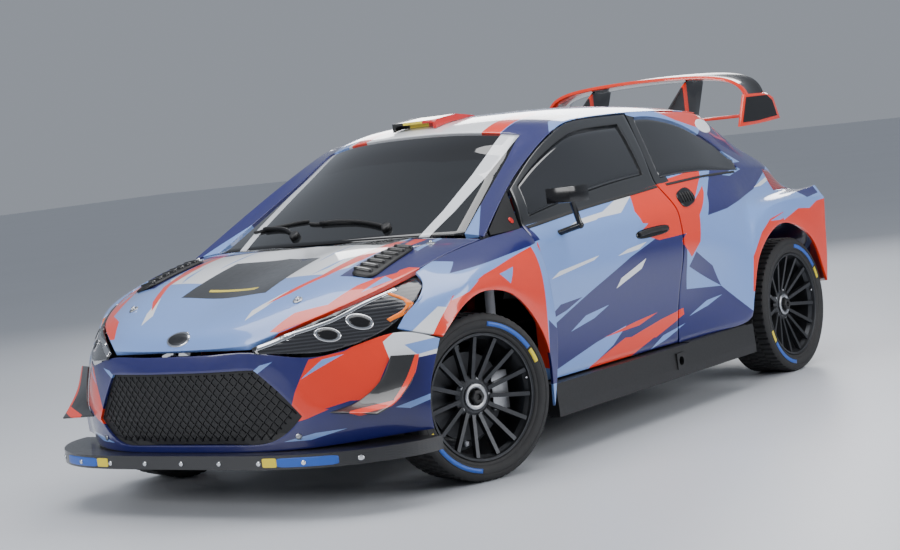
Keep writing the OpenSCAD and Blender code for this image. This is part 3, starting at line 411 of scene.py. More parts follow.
# ---- floor, cage, suspension and rims ----
# A coated sheet floor, a welded tube cage, steel arms and struts, carbon trays and cast rims, bolted together.
# They stay as the CAD made them, and each takes the finish its slot names.


def waves(tree, scale, turn=0.0):
    """Straight bands fixed to the piece, in two directions that cross when turned by a quarter."""
    place = node(tree, "TexCoord").outputs["Object"]
    turned = node(tree, "Mapping", [("Vector", place), ("Rotation", (0.6, 0.2, turn))]).outputs[0]
    return node(tree, "TexWave", [("Vector", turned), ("Scale", scale), ("Distortion", 0.3)]).outputs["Fac"]


def woven_carbon():
    material, tree, shader = new_material("woven_carbon", Coat_Weight=0.5, Coat_Roughness=0.08)
    cell = node(tree, "TexChecker", [("Vector", node(tree, "TexCoord").outputs["Object"]), ("Scale", 210.0)])
    tows = node(tree, "Mix", [("Factor", cell.outputs["Fac"]), ("A", waves(tree, 900)),
                              ("B", waves(tree, 900, math.pi / 2))])
    shades = two_tone(tree, cell.outputs["Fac"], (0.004, 0.004, 0.005, 1), (0.016, 0.016, 0.018, 1))
    tree.links.new(shades, shader.inputs["Base Color"])
    tree.links.new(spread(tree, grain(tree, 30), 0.28, 0.42), shader.inputs["Roughness"])
    bumped(tree, shader, tows.outputs[0], 0.10, 0.0004)
    return material


def grained(name, colour, low, high, scale=300, strength=0.15, metal=0.0, variation=0.18):
    """A plain finish with its own mottling and surface grain."""
    material, tree, shader = new_material(name, Metallic=metal)
    tinted(tree, shader, colour, variation, scale / 14)
    tree.links.new(spread(tree, grain(tree, scale / 8), low, high), shader.inputs["Roughness"])
    bumped(tree, shader, grain(tree, scale, 4.0), strength, 0.0006)
    return material


carbon = woven_carbon()
plastic = grained("moulded_black_plastic", (0.006, 0.006, 0.007), 0.42, 0.56, 700, 0.12)
rubber = grained("tyre_rubber", (0.016, 0.016, 0.017), 0.62, 0.82, 420, 0.22)
satin_alloy = grained("dark_cast_alloy", (0.045, 0.047, 0.052), 0.34, 0.48, 600, 0.10, 0.75)
machined = grained("machined_steel", (0.42, 0.43, 0.45), 0.24, 0.38, 900, 0.08, 1.0)
orange_metal = grained("red_painted_eye", (0.78, 0.035, 0.012), 0.3, 0.42, 500, 0.06)
tube_paint = grained("cage_tube_paint", (0.62, 0.64, 0.68), 0.3, 0.42, 260, 0.05)
floor_coat = grained("textured_floor_coat", (0.020, 0.021, 0.023), 0.6, 0.8, 240, 0.35)
finishes = {"carbon": carbon, "black_plastic": plastic, "tyre": rubber, "wheel": satin_alloy, "steel": machined,
            "cage": tube_paint, "floor": floor_coat, "orange_paint": orange_metal}
for cad_piece in frame["nodes"].values():
    for finish in cad_piece.material_slots:
        finish.material = finishes.get(finish.material.name, finish.material)

# ---- wheels and tyres ----
# Each wheel is one dark casting held by a centre nut. Its tyre is moulded rubber with raised sidewall bands and
# cut tread blocks, and carries blank coloured arcs.

bright = grained("bright_chrome", (0.72, 0.73, 0.75), 0.05, 0.12, 200, 0.01, 1.0, 0.04)
blue_trim = grained("blue_vinyl", (0.02, 0.10, 0.45), 0.3, 0.4, 160, 0.02, 0.0, 0.05)
yellow_trim = grained("yellow_vinyl", YELLOW, 0.3, 0.4, 160, 0.02, 0.0, 0.05)


def made(name, points, faces, material, body, slot, *replaced, rounding=0.0, smooth=True):
    mesh = bpy.data.meshes.new(name)
    mesh.from_pydata([tuple(p) for p in points], [], faces)
    shape = bmesh.new()
    shape.from_mesh(mesh)
    bmesh.ops.recalc_face_normals(shape, faces=shape.faces)
    shape.to_mesh(mesh)
    shape.free()
    piece = bpy.data.objects.new(name, mesh)
    bpy.context.collection.objects.link(piece)
    mesh.materials.append(material)
    if smooth:
        mesh.shade_smooth()
    if rounding:
        edges = piece.modifiers.new("edge_radius", "BEVEL")
        edges.width, edges.segments = rounding, 3
        edges.limit_method, edges.angle_limit = "ANGLE", math.radians(30)
    return dress(piece, body, slot, *replaced)


def rings(loops, closed_ends=True):
    """Faces between successive loops of points that have the same count."""
    count = len(loops[0])
    points = [p for loop in loops for p in loop]
    faces = [(i * count + j, i * count + (j + 1) % count, (i + 1) * count + (j + 1) % count, (i + 1) * count + j)
             for i in range(len(loops) - 1) for j in range(count)]
    if closed_ends:
        faces += [tuple(range(count)), tuple(range((len(loops) - 1) * count, len(loops) * count))]
    return points, faces


def smooth_line(corners, steps):
    """Points along a smooth line through the corners."""
    out = []
    padded_line = [corners[0]] + list(corners) + [corners[-1]]
    for a, b, c, d in zip(padded_line, padded_line[1:], padded_line[2:], padded_line[3:]):
        for step in range(steps):
            t = step / steps
            out.append(tuple(0.5 * (2 * q + (r - p) * t + (2 * p - 5 * q + 4 * r - s) * t * t
                                    + (3 * q - p - 3 * r + s) * t ** 3) for p, q, r, s in zip(a, b, c, d)))
    return out + [tuple(corners[-1])]


NOT_ALONG_A_TUBE = Vector((0.13, 0.29, 0.95))


def tube(corners, radius, material, body, slot, name, steps=6, around=12):
    """A round bar along a smooth line."""
    line = [Vector(p) for p in smooth_line(corners, steps)]
    loops = []
    for i, here in enumerate(line):
        run = (line[min(len(line) - 1, i + 1)] - line[max(0, i - 1)]).normalized()
        across = run.cross(NOT_ALONG_A_TUBE).normalized()
        other = run.cross(across)
        turns = [math.tau * k / around for k in range(around)]
        loops.append([here + (across * math.cos(turn) + other * math.sin(turn)) * radius for turn in turns])
    points, faces = rings(loops)
    return made(name, points, faces, material, body, slot)

TYRE_HALF = 0.115
TYRE_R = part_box("tyre_rear_left")[1][2] / 2
RIM_R = 0.2453
wall = [(0.097, RIM_R), (0.104, 0.250), (0.107, 0.257), (0.1065, 0.262), (0.1125, 0.268), (TYRE_HALF, 0.280),
        (TYRE_HALF, 0.290), (0.1135, 0.2915), (0.1135, 0.2945), (TYRE_HALF, 0.296), (0.1145, 0.304), (0.110, 0.3125),
        (0.103, 0.3185)]
SHOULDER, TREAD = [0.0975, 0.0965, 0.072, 0.050, 0.049], [0.042, 0.041, 0.022, 0.0035, 0.0030]
PITCHES, CELLS, GROOVE = 64, 6, 0.0065
half_line = [(x, r, 0) for x, r in wall] + [(x, TYRE_R, 1) for x in SHOULDER]
half_line += [(0.0455, TYRE_R - GROOVE, 0)] + [(x, TYRE_R, 2) for x in TREAD] + [(0, TYRE_R - GROOVE, 0)]
tyre_line = half_line + [(-x, r, -kind) for x, r, kind in reversed(half_line[:-1])]
ARC_STEPS = 24


def wheel_frame(joint, side):
    """Where a wheel's middle is, and its outward, forward and upward directions."""
    out = Vector(joints[joint]["axis"]).normalized() * side
    return Vector(joints[joint]["pos_m"]), out, UP.cross(out)


def ray(forward, angle):
    return forward * math.cos(angle) + UP * math.sin(angle)


def round_form(name, centre, out, forward, line, around, material, body, slot, *replaced, profile=None):
    loops = []
    for x, r, kind in line:
        loop = []
        for step in range(around):
            angle = math.tau * step / around
            reach = r if profile is None else profile(r, kind, step)
            loop.append(centre + out * x + ray(forward, angle) * reach)
        loops.append(loop)
    points, faces = rings(loops + [loops[0]], closed_ends=False)
    piece = made(name, points, faces, material, body, slot, *replaced)
    joined = bmesh.new()
    joined.from_mesh(piece.data)
    bmesh.ops.remove_doubles(joined, verts=joined.verts, dist=1e-5)
    joined.to_mesh(piece.data)
    joined.free()
    return piece


def tread(r, kind, step):
    """Cuts a slanted groove across every block. The blocks of the two shoulders and the middle are offset."""
    if kind == 0:
        return r
    place = (step + (3 if kind < 0 else 0) + (2 if abs(kind) == 2 else 0)) % CELLS
    return r - GROOVE if place in (0, 1) else r


for name, side in (("front_left", 1), ("front_right", -1), ("rear_left", 1), ("rear_right", -1)):
    body = name + "_wheel"
    centre, out, forward = wheel_frame(name + "_spin", side)
    tyre = round_form(name + "_gravel_tyre", centre, out, forward, tyre_line, PITCHES * CELLS, rubber, body,
                      "tyre", "tyre_" + name, profile=tread)
    tyre.modifiers.new("sharp_blocks", "EDGE_SPLIT").split_angle = math.radians(40)
    # Blank coloured arcs on the sidewall, opposite each other, in two colours
    for turn, word, tint, span in ((20, "yellow", yellow_trim, 12), (34, "blue", blue_trim, 46),
                                   (200, "yellow", yellow_trim, 12), (214, "blue", blue_trim, 46)):
        loops = []
        for step in range(ARC_STEPS + 1):
            facing = ray(forward, math.radians(turn + span * step / ARC_STEPS))
            loops.append([centre + out * x + facing * r for x, r in
                          ((0.1135, 0.271), (0.1162, 0.2715), (0.1162, 0.2885), (0.1135, 0.289))])
        points, faces = rings(loops)
        made(name + "_" + word + "_arc_" + str(turn), points, faces, tint, body, "tyre")
    # Rim lip, centre nut, its dished seat and the valve
    lip = [(0.100, 0.2405, 0), (0.1035, 0.2425, 0), (0.1035, 0.2445, 0), (0.100, 0.2448, 0), (0.094, 0.243, 0),
           (0.094, 0.2405, 0)]
    round_form(name + "_rim_lip", centre, out, forward, lip, 96, satin_alloy, body, "wheel")
    seat = [(0.060, 0.030, 0), (0.062, 0.046, 0), (0.058, 0.052, 0), (0.052, 0.053, 0), (0.052, 0.030, 0)]
    round_form(name + "_nut_seat", centre, out, forward, seat, 64, machined, body, "wheel")
    nut_loops = []
    for x, r in ((0.050, 0.030), (0.072, 0.030), (0.076, 0.026), (0.076, 0.014), (0.066, 0.012)):
        nut_loops.append([centre + out * x + ray(forward, math.tau * k / 6) * r for k in range(6)])
    points, faces = rings(nut_loops)
    made(name + "_centre_nut", points, faces, plastic, body, "wheel", rounding=0.0015, smooth=False)
    foot = centre + out * 0.088 + forward * 0.222 + Vector((0, 0, 0.04))
    tube([foot, foot + out * 0.012 - forward * 0.004], 0.004, bright, body, "wheel", name + "_valve", 2)
    for k in range(5):
        stud = centre + ray(forward, math.tau * k / 5) * 0.068
        tube([stud + out * 0.038, stud + out * 0.049], 0.0075, machined, body, "wheel",
             name + "_stud_" + str(k), 2)

# ---- front lamps ----
# A dark smoked plastic lens over a black housing, pressed into the bumper's corner, with a bright strip on top,
# two round projectors and an orange light bar.

gloss_black = grained("gloss_black_plastic", (0.008, 0.008, 0.009), 0.10, 0.18, 200, 0.02)
amber = grained("amber_lens", (0.95, 0.20, 0.01), 0.08, 0.16, 90, 0.04, 0.0, 0.08)
surfaces = {}
SUNK = 0.0012
# For each way of looking: where the sight line starts, which way it runs, and the two axes the piece is placed by
LOOKS = {"side": (Vector((2, 0, 0)), Vector((-1, 0, 0)), (1, 2)),
         "top": (Vector((0, 0, 3)), Vector((0, 0, -1)), (0, 1)),
         "front": (Vector((0, -4, 0)), Vector((0, 1, 0)), (0, 2))}


def on_panel(source, look, first, second, flip=1):
    """The panel's point and outward direction seen square on from that side."""
    if source not in surfaces:
        mesh = frame["nodes"][source].data
        tree = BVHTree.FromPolygons([v.co for v in mesh.vertices], [p.vertices for p in mesh.polygons])
        surfaces[source] = [tree, mesh.vertices[0].co]
    start, along, places = LOOKS[look]
    start, along = start.copy(), along.copy()
    start[places[0]], start[places[1]] = first, second
    if look == "side":
        start.x, along.x = start.x * flip, along.x * flip
    tree, last = surfaces[source]
    at, facing, _, _ = tree.ray_cast(start, along)
    if at is None:
        # Past the edge: the nearest place beside the last point
        depth = 3 - places[0] - places[1]
        start[depth] = last[depth]
        at, facing, _, _ = tree.find_nearest(start)
    surfaces[source][1] = at
    return at, facing if facing.dot(along) < 0 else -facing


def pad(source, look, centre, half, material, body, slot, name, turn=0.0, power=2.0, height=0.003, flip=1, crown=0.4,
        around=36):
    """A round, oval or round-cornered plate laid on a panel. A power of 2 is an oval, and 6 is nearly a rectangle."""
    cos, sin = math.cos(math.radians(turn)), math.sin(math.radians(turn))
    loops = []
    for share, lift in ((1.0, -SUNK), (1.0, height * (1 - crown)), (0.90, height), (0.5, height), (0.04, height)):
        loop = []
        for step in range(around):
            c, s = math.cos(math.tau * step / around), math.sin(math.tau * step / around)
            reach = share / (abs(c) ** power + abs(s) ** power) ** (1 / power)
            a, b = half[0] * c * reach, half[1] * s * reach
            at, facing = on_panel(source, look, centre[0] + a * cos - b * sin, centre[1] + a * sin + b * cos, flip)
            loop.append(at + facing * lift)
        loops.append(loop)
    points, faces = rings(loops)
    return made(name, points, faces, material, body, slot)


def strip(source, look, corners, width, material, body, slot, name, height=0.002, flip=1, steps=8):
    """A narrow moulding laid on a panel along a smooth line."""
    line = smooth_line(corners, steps)
    loops = []
    for i, here in enumerate(line):
        before, after = line[max(0, i - 1)], line[min(len(line) - 1, i + 1)]
        run = Vector((after[0] - before[0], after[1] - before[1])).normalized()
        across = Vector((-run.y, run.x)) * width / 2
        loop = []
        for side, lift in ((1, -SUNK), (1, height * 0.6), (0.7, height), (-0.7, height), (-1, height * 0.6),
                           (-1, -SUNK)):
            at, facing = on_panel(source, look, here[0] + across.x * side, here[1] + across.y * side, flip)
            loop.append(at + facing * lift)
        loops.append(loop)
    points, faces = rings(loops)
    return made(name, points, faces, material, body, slot)


def ribbed_lens(name, coat, dark, light, roughness, bump, **ribs_like):
    """A lens whose inner face is moulded in level ribs."""
    material, tree, shader = new_material(name, IOR=1.5, Coat_Weight=1.0, Coat_Roughness=coat)
    place = node(tree, "TexCoord").outputs["Object"]
    ribs = node(tree, "TexWave", [("Vector", place)] + list(ribs_like.items()), bands_direction="Z").outputs["Fac"]
    tree.links.new(two_tone(tree, ribs, dark, light), shader.inputs["Base Color"])
    tree.links.new(spread(tree, ribs, *roughness), shader.inputs["Roughness"])
    bumped(tree, shader, ribs, bump, 0.002)
    return material


lamp_glass = ribbed_lens("smoked_lamp_lens", 0.01, (0.008, 0.008, 0.010, 1), (0.030, 0.031, 0.036, 1),
                         (0.04, 0.14), 0.25, Scale=26.0, Distortion=0.6)
for side, flip in SIDES:
    lamp_node = "headlight_" + side
    smooth_panel(lamp_node, side + "_lamp_lens", "chassis", lamp_glass, "lamp", rounding=0)
    strip(lamp_node, "front", [(flip * 0.385, 0.628), (flip * 0.44, 0.644), (flip * 0.50, 0.668)], 0.018, bright,
          "chassis", "lamp", side + "_lamp_inner_reflector", 0.003)
    strip(lamp_node, "side", [(-1.93, 0.655), (-1.80, 0.697), (-1.68, 0.745), (-1.56, 0.779)], 0.010, bright,
          "chassis", "lamp", side + "_lamp_top_strip", 0.003, flip)
    strip(lamp_node, "side", [(-1.60, 0.770), (-1.575, 0.735), (-1.60, 0.70), (-1.66, 0.672)], 0.012, amber,
          "chassis", "lamp", side + "_running_light", 0.003, flip)
    for k, (y, z, r) in enumerate(((-1.83, 0.650, 0.030), (-1.735, 0.682, 0.034))):
        pad(lamp_node, "side", (y, z), (r, r * 0.9), bright, "chassis", "lamp", side + "_projector_rim_" + str(k),
            height=0.003, flip=flip)
        pad(lamp_node, "side", (y, z), (r * 0.76, r * 0.68), gloss_black, "chassis", "lamp",
            side + "_projector_lens_" + str(k), height=0.0055, flip=flip)

# ---- grille, bumper and bonnet trim ----
# A black woven mesh fills the intake. The bumper carries carbon dive planes and lip bolts; the bonnet carries
# louvres, pins and a plain oval badge.

# Height and half width of the intake at its foot, where it is widest, and at its top
GRILLE_LOW, GRILLE_WIDE, GRILLE_TOP = (0.286, 0.412), (0.37, 0.50), (0.538, 0.402)


def grille_half_width(z):
    """The intake is widest a third of the way up and narrows to both edges."""
    far = GRILLE_TOP if z > GRILLE_WIDE[0] else GRILLE_LOW
    share = (z - GRILLE_WIDE[0]) / (far[0] - GRILLE_WIDE[0])
    return GRILLE_WIDE[1] + share * (far[1] - GRILLE_WIDE[1])


BARS, FIRST_BAR, BAR_GAP, BAR_STEPS = 34, -0.66, 0.04, 14
for lean, word in ((1, "rising"), (-1, "falling")):
    for k in range(BARS):
        bar = []
        for step in range(BAR_STEPS + 1):
            z = GRILLE_LOW[0] + (GRILLE_TOP[0] - GRILLE_LOW[0]) * step / BAR_STEPS
            x = FIRST_BAR + k * BAR_GAP + lean * (z - GRILLE_WIDE[0])
            if abs(x) < grille_half_width(z):
                bar.append((x, z))
        if len(bar) > 1:
            strip("grille", "front", bar, 0.0045, plastic, "chassis", "black_plastic",
                  "grille_" + word + "_bar_" + str(k), 0.004, steps=1)
for side, flip in SIDES:
    pad("front_bumper", "front", (flip * 0.50, 0.292), (0.011, 0.011), machined, "chassis", "steel",
        side + "_lip_bolt", height=0.004)
pad("bonnet", "front", (0, 0.674), (0.058, 0.026), bright, "front_lid", "steel", "nose_badge_rim", height=0.004)
pad("bonnet", "front", (0, 0.674), (0.050, 0.020), satin_alloy, "front_lid", "steel", "nose_badge_field",
    height=0.0055)
for side, flip in SIDES:
    pad("bonnet", "top", (flip * 0.565, -1.40), (0.055, 0.165), plastic, "front_lid", "black_plastic",
        side + "_louvre_frame", flip * 4, 5, 0.010)
    for k in range(7):
        y = -1.53 + k * 0.044
        strip("bonnet", "top", [(flip * 0.526, y), (flip * 0.604, y + 0.004)], 0.014, carbon, "front_lid", "carbon",
              side + "_louvre_slat_" + str(k), 0.019, steps=4)
    for k, (x, y) in enumerate(((0.43, -1.77), (0.62, -1.16))):
        pad("bonnet", "top", (flip * x, y), (0.019, 0.019), machined, "front_lid", "steel",
            side + "_bonnet_pin_plate_" + str(k), height=0.003)
        pad("bonnet", "top", (flip * x, y), (0.007, 0.007), bright, "front_lid", "steel",
            side + "_bonnet_pin_" + str(k), height=0.012)
canard_paint = painted("canard_livery", (0.010, 0.010, 0.011), [
    (ORANGE, [(0.70, 0.352), (0.86, 0.380), (0.868, 0.40), (0.70, 0.372)]),
    (ORANGE, [(0.855, 0.38), (0.90, 0.56), (0.875, 0.56), (0.842, 0.40)])], "XZ", mirrored=True)
smooth_panel("canards", "corner_dive_planes", "chassis", canard_paint, "carbon")

# ---- splitter ----
# A carbon tray with a turned lip, held under the bumper by a row of button-head bolts.
# A blank two-colour sticker sits on each end.

for k in range(-4, 5):
    pad("splitter", "front", (k * 0.192, 0.211), (0.0095, 0.0095), bright, "chassis", "steel",
        "splitter_bolt_" + str(k + 4), height=0.005)
for side, flip in SIDES:
    for first, last, tint, word in ((0.40, 0.465, yellow_trim, "yellow"), (0.465, 0.70, blue_trim, "blue")):
        middle = (first + last) / 2
        pad("splitter", "front", (flip * middle, 0.213), ((last - first) / 2, 0.017), tint, "chassis", "carbon",
            side + "_" + word + "_lip_sticker", power=9, height=0.0015)

# ---- roof scoop and screen wipers ----
# The scoop is a black moulding with yellow and red stripes, bonded to the roof.
# Two plastic wiper arms with rubber blades rest on the foot of the screen.

scoop_paint = painted("scoop_livery", (0.008, 0.008, 0.009), [
    (YELLOW, [(-0.06, -0.36), (0.045, -0.36), (0.045, 0.02), (-0.06, 0.02)]),
    (RED, [(0.045, -0.36), (0.14, -0.36), (0.14, 0.02), (0.045, 0.02)])], "XY")
smooth_panel("roof_scoop", "roof_scoop_moulding", "chassis", scoop_paint, "black_plastic", rounding=0.004)
for k, (foot, tip) in enumerate((((0.28, -0.990), (-0.10, -0.945)), ((-0.20, -1.005), (-0.45, -0.905)))):
    strip("windscreen", "top", [foot, ((foot[0] + tip[0]) / 2 + 0.02, (foot[1] + tip[1]) / 2 + 0.012), tip], 0.011,
          plastic, "chassis", "black_plastic", "wiper_arm_" + str(k), 0.016)
    strip("windscreen", "top", [(tip[0] + 0.26, tip[1] - 0.012), tip, (tip[0] - 0.07, tip[1] + 0.012)], 0.009, rubber,
          "chassis", "black_plastic", "wiper_blade_" + str(k), 0.010)
    pad("windscreen", "top", foot, (0.020, 0.020), plastic, "chassis", "black_plastic", "wiper_spindle_" + str(k),
        height=0.018)

# ---- mirror, handles and side trim ----
# The left door has a moulded mirror on a stalk. Each door has a dark paddle handle in a recess, and black rubber
# is pushed on along the foot of the glass. The quarters have an inlet and a blank oval sticker.

white_trim = grained("white_vinyl", WHITE, 0.3, 0.4, 160, 0.02, 0.0, 0.04)
red_metal = grained("red_anodised_caliper", (0.62, 0.018, 0.012), 0.28, 0.4, 500, 0.08, 0.2)
smooth_panel("mirror_left", "left_mirror_unit", "left_door", gloss_black, "black_plastic", rounding=0.006,
             levels=0)
for side, flip in SIDES:
    door = "door_" + side
    pad(door, "side", (0.08, 0.806), (0.135, 0.021), gloss_black, side + "_door", "black_plastic",
        side + "_handle_recess", 1.5, 3, 0.002, flip)
    strip(door, "side", [(-0.035, 0.806), (0.08, 0.812), (0.19, 0.812)], 0.020, plastic, side + "_door",
          "black_plastic", side + "_door_handle", 0.016, flip)
    strip(door, "side", [(-0.745, 0.918), (-0.30, 0.955), (0.20, 0.985), (0.34, 0.995)], 0.012, rubber,
          side + "_door", "black_plastic", side + "_waist_rubber", 0.003, flip)
    strip("quarter_panel_" + side, "side", [(0.365, 0.992), (0.70, 1.0), (1.05, 0.994)], 0.010, rubber, "chassis",
          "black_plastic", side + "_quarter_rubber", 0.003, flip)
    pad("quarter_panel_" + side, "side", (0.44, 0.925), (0.075, 0.036), gloss_black, "chassis", "black_plastic",
        side + "_cooling_inlet", 12, 3, 0.003, flip)
    pad("quarter_panel_" + side, "side", (1.09, 1.225), (0.095, 0.034), white_trim, "chassis", "paint",
        side + "_blank_pillar_oval", 2, 2, 0.0012, flip)
    for k in range(5):
        y = 0.395 + k * 0.022
        strip("quarter_panel_" + side, "side", [(y, 0.905), (y + 0.010, 0.945)], 0.006, plastic, "chassis",
              "black_plastic", side + "_inlet_slat_" + str(k), 0.008, flip, 3)
pad("sail_panels", "side", (-0.80, 0.955), (0.012, 0.012), red_metal, "chassis", "steel", "sail_panel_pull",
    height=0.004)

# ---- tail lamps, wing and diffuser ----
# Ribbed red plastic lenses let into the quarters, and a carbon wing whose edges are painted orange.
# The diffuser is a carbon tray with four upright fences glued on.

def block(name, low, high, material, body, slot, *replaced, rounding=0.01, taper=(1, 1)):
    """A box with rounded edges whose top is drawn in by the taper."""
    middle = [(a + b) / 2 for a, b in zip(low, high)]
    corners = [(middle[0] + (x - middle[0]) * k[0], middle[1] + (y - middle[1]) * k[1], z)
               for z, k in ((low[2], (1, 1)), (high[2], taper))
               for x, y in ((low[0], low[1]), (high[0], low[1]), (high[0], high[1]), (low[0], high[1]))]
    points, faces = rings([corners[:4], corners[4:]])
    return made(name, points, faces, material, body, slot, *replaced, rounding=rounding)


tail_glass = ribbed_lens("ribbed_red_lens", 0.02, (0.10, 0.004, 0.004, 1), (0.50, 0.012, 0.010, 1),
                         (0.06, 0.2), 0.3, Scale=42.0)
smooth_panel("tail_lamps", "tail_lamp_lenses", "chassis", tail_glass, "red_lamp", rounding=0)
wing_paint = painted("wing_livery", (0.010, 0.010, 0.011), [
    (ORANGE, [(0, 1.56), (0.25, 1.56), (0.25, 1.592), (0, 1.592)]),
    (ORANGE, [(0.25, 1.56), (0.62, 1.56), (0.62, 1.672), (0.45, 1.635), (0.25, 1.592)]),
    (ORANGE, [(0.599, 1.50), (0.62, 1.50), (0.62, 1.96), (0.599, 1.96)])], "XY", mirrored=True)
smooth_panel("rear_wing", "rear_wing_planes", "rear_gate", wing_paint, "carbon", rounding=0.002, levels=1)
for side, flip in SIDES:
    plate = [Vector((flip * 0.6125, y, z)) for y, z in
             ((1.545, 1.214), (1.70, 1.214), (1.922, 1.228), (1.884, 1.308), (1.828, 1.338), (1.605, 1.338))]
    points, faces = rings([plate, [p + Vector((flip * 0.0012, 0, 0)) for p in plate]])
    made(side + "_end_plate_infill", points, faces, gloss_black, "rear_gate", "carbon", smooth=False)
for k in (0, 1, 3, 4):
    x = (k - 2) * 0.2
    block("diffuser_fence_" + str(k), (x - 0.004, 1.70, 0.192), (x + 0.004, 1.915, 0.232), carbon, "chassis",
          "carbon", rounding=0.002)

# ---- cabin ----
# A padded dashboard, a flat-bottomed steering wheel, and two fabric bucket seats with harnesses, bolted to the
# floor. The engine ahead of the bulkhead is a cast block with a red cover, steel exhaust and a rubber pipe.

fabric = grained("black_woven_fabric", (0.018, 0.018, 0.020), 0.78, 0.95, 1600, 0.5)
red_fabric = grained("red_webbing", (0.55, 0.02, 0.015), 0.7, 0.85, 1800, 0.5)
block("dashboard_pad", (-0.60, -0.83, 0.66), (0.60, -0.575, 0.85), fabric, "chassis", "black_plastic", rounding=0.035,
      taper=(0.98, 0.72))
block("dashboard_bulkhead", (-0.49, -1.008, 0.187), (0.49, -0.992, 0.88), plastic, "chassis", "black_plastic",
      "dashboard", rounding=0.003)
block("instrument_pod", (0.20, -0.76, 0.80), (0.50, -0.60, 0.875), plastic, "chassis", "black_plastic", rounding=0.02,
      taper=(0.86, 0.8))
wheel_centre, wheel_tilt = Vector((0.35, -0.47, 0.83)), math.radians(24)
RIM_STEPS, RIM_HALF_WIDTH, RIM_HALF_HEIGHT, FLAT_FOOT = 32, 0.165, 0.155, -0.82


def on_wheel(a, b):
    """A place on the tilted steering wheel, a across and b up from its middle."""
    return wheel_centre + Vector((a, b * math.sin(wheel_tilt), b * math.cos(wheel_tilt)))


rim_line = []
for step in range(RIM_STEPS + 1):
    angle = math.tau * step / RIM_STEPS
    rim_line.append(on_wheel(RIM_HALF_WIDTH * math.cos(angle), RIM_HALF_HEIGHT * max(FLAT_FOOT, math.sin(angle))))
tube(rim_line, 0.015, fabric, "chassis", "black_plastic", "steering_wheel_rim", 1, 14)
for k, (a, b) in enumerate(((-0.155, 0.0), (0.155, 0.0), (0.0, -0.12))):
    tube([wheel_centre, on_wheel(a, b)], 0.012, satin_alloy, "chassis", "black_plastic",
         "steering_wheel_spoke_" + str(k), 2)
tube([wheel_centre, Vector((0.35, -0.60, 0.77)), Vector((0.35, -0.80, 0.68))], 0.022, satin_alloy, "chassis", "steel",
     "steering_column")


PAD_AROUND, PAD_POWER, LEANING = 28, 3.2, (0, 1, 0.25)


def cushion(name, sections, material, fill, *replaced):
    """A crowned, closed pad lofted through oval sections: (middle, half width, half depth, depth direction)."""
    loops = []
    for middle, wide, deep, along in sections:
        depth = Vector(along).normalized()
        loop = []
        for step in range(PAD_AROUND):
            c, s = math.cos(math.tau * step / PAD_AROUND), math.sin(math.tau * step / PAD_AROUND)
            reach = 1 / (abs(c) ** PAD_POWER + abs(s) ** PAD_POWER) ** (1 / PAD_POWER)
            loop.append(Vector(middle) + Vector((wide * c * reach, 0, 0)) + depth * deep * s * reach)
        loops.append(loop)
    points, faces = rings(loops)
    piece = made(name, points, faces, material, "chassis", "seat", *replaced)
    piece.modifiers.new("crown", "SUBSURF").levels = 1
    return piece


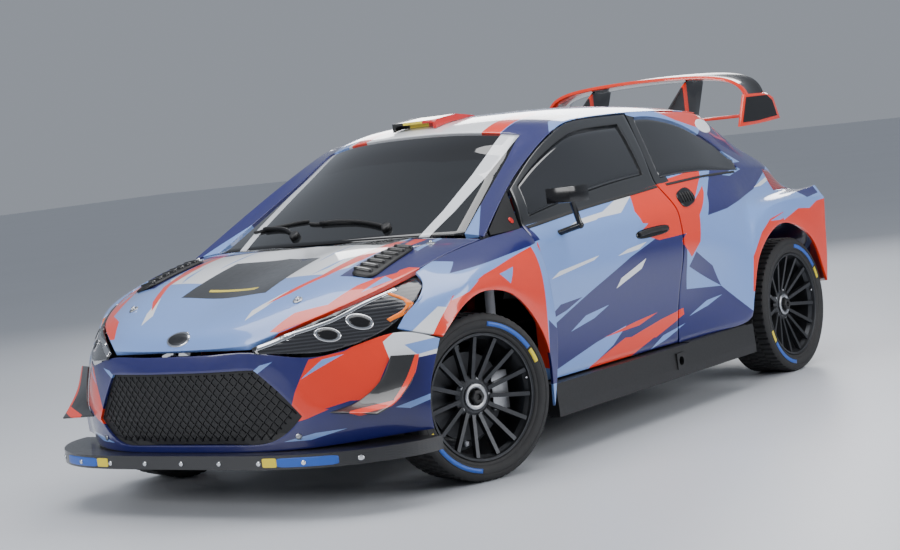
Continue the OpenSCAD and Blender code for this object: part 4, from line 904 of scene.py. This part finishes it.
for side, flip in SIDES:
    x = flip * 0.35
    replaced = ("seats",) if flip == 1 else ()
    cushion(side + "_seat_base", [
        ((x, -0.105, 0.40), 0.16, 0.04, (0, 0.2, 1)), ((x, -0.06, 0.41), 0.185, 0.062, (0, 0.1, 1)),
        ((x, 0.10, 0.39), 0.19, 0.065, (0, 0, 1)), ((x, 0.30, 0.365), 0.19, 0.06, (0, -0.1, 1)),
        ((x, 0.345, 0.36), 0.15, 0.03, (0, -0.2, 1))], fabric, 0.8, *replaced)
    cushion(side + "_seat_back", [((x, y, z), wide, deep, LEANING) for y, z, wide, deep in (
        (0.335, 0.36, 0.16, 0.035), (0.36, 0.45, 0.195, 0.055), (0.42, 0.70, 0.205, 0.060),
        (0.465, 0.86, 0.175, 0.055), (0.495, 0.97, 0.125, 0.050), (0.50, 1.005, 0.10, 0.02))], fabric, 0.7)
    for k, a in enumerate((-1, 1)):
        cushion(side + "_seat_bolster_" + str(k), [((x + a * off, y, z), wide, deep, LEANING)
                                                   for off, y, z, wide, deep in (
            (0.185, 0.30, 0.42, 0.02, 0.05), (0.19, 0.34, 0.55, 0.028, 0.09), (0.185, 0.38, 0.76, 0.028, 0.09),
            (0.155, 0.43, 0.96, 0.024, 0.085), (0.14, 0.455, 1.0, 0.014, 0.05))], fabric, 0.8)
        loops = []
        for p in ((0.445, 0.92), (0.365, 0.78), (0.325, 0.60), (0.30, 0.48), (0.16, 0.465)):
            loops.append([Vector((x + a * 0.07 + w, p[0] + d, p[1])) for w, d in
                          ((-0.024, 0), (0.024, 0), (0.024, -0.003), (-0.024, -0.003))])
        points, faces = rings(loops)
        made(side + "_harness_strap_" + str(k), points, faces, red_fabric, "chassis", "seat", rounding=0.001)
    block(side + "_seat_frame", (x - 0.20, -0.10, 0.187), (x + 0.20, 0.34, 0.335), plastic, "chassis", "seat",
          rounding=0.02, taper=(0.94, 0.96))

block("engine_sump", (-0.30, -1.62, 0.255), (0.30, -1.28, 0.40), satin_alloy, "chassis", "engine", "engine_block",
      rounding=0.02, taper=(1.04, 1.04))
block("engine_crankcase", (-0.32, -1.60, 0.39), (0.30, -1.30, 0.56), satin_alloy, "chassis", "engine",
      rounding=0.012)
block("engine_cam_cover", (-0.30, -1.575, 0.55), (0.26, -1.34, 0.665), red_metal, "chassis", "engine",
      rounding=0.022, taper=(0.97, 0.80))
for k in range(4):
    x = -0.22 + k * 0.135
    tube([(x, -1.575, 0.52), (x, -1.615, 0.54), (x, -1.622, 0.48), (0.02 + k * 0.01, -1.615, 0.40)], 0.018, machined,
         "chassis", "engine", "exhaust_branch_" + str(k))
    pad_at = Vector((x, -1.457, 0.664))
    tube([pad_at, pad_at + Vector((0, 0, 0.006))], 0.017, plastic, "chassis", "engine", "coil_cap_" + str(k), 2)
tube([(0.26, -1.34, 0.60), (0.31, -1.40, 0.62), (0.315, -1.50, 0.58), (0.30, -1.58, 0.50)], 0.014, rubber, "chassis",
     "engine", "coolant_pipe")
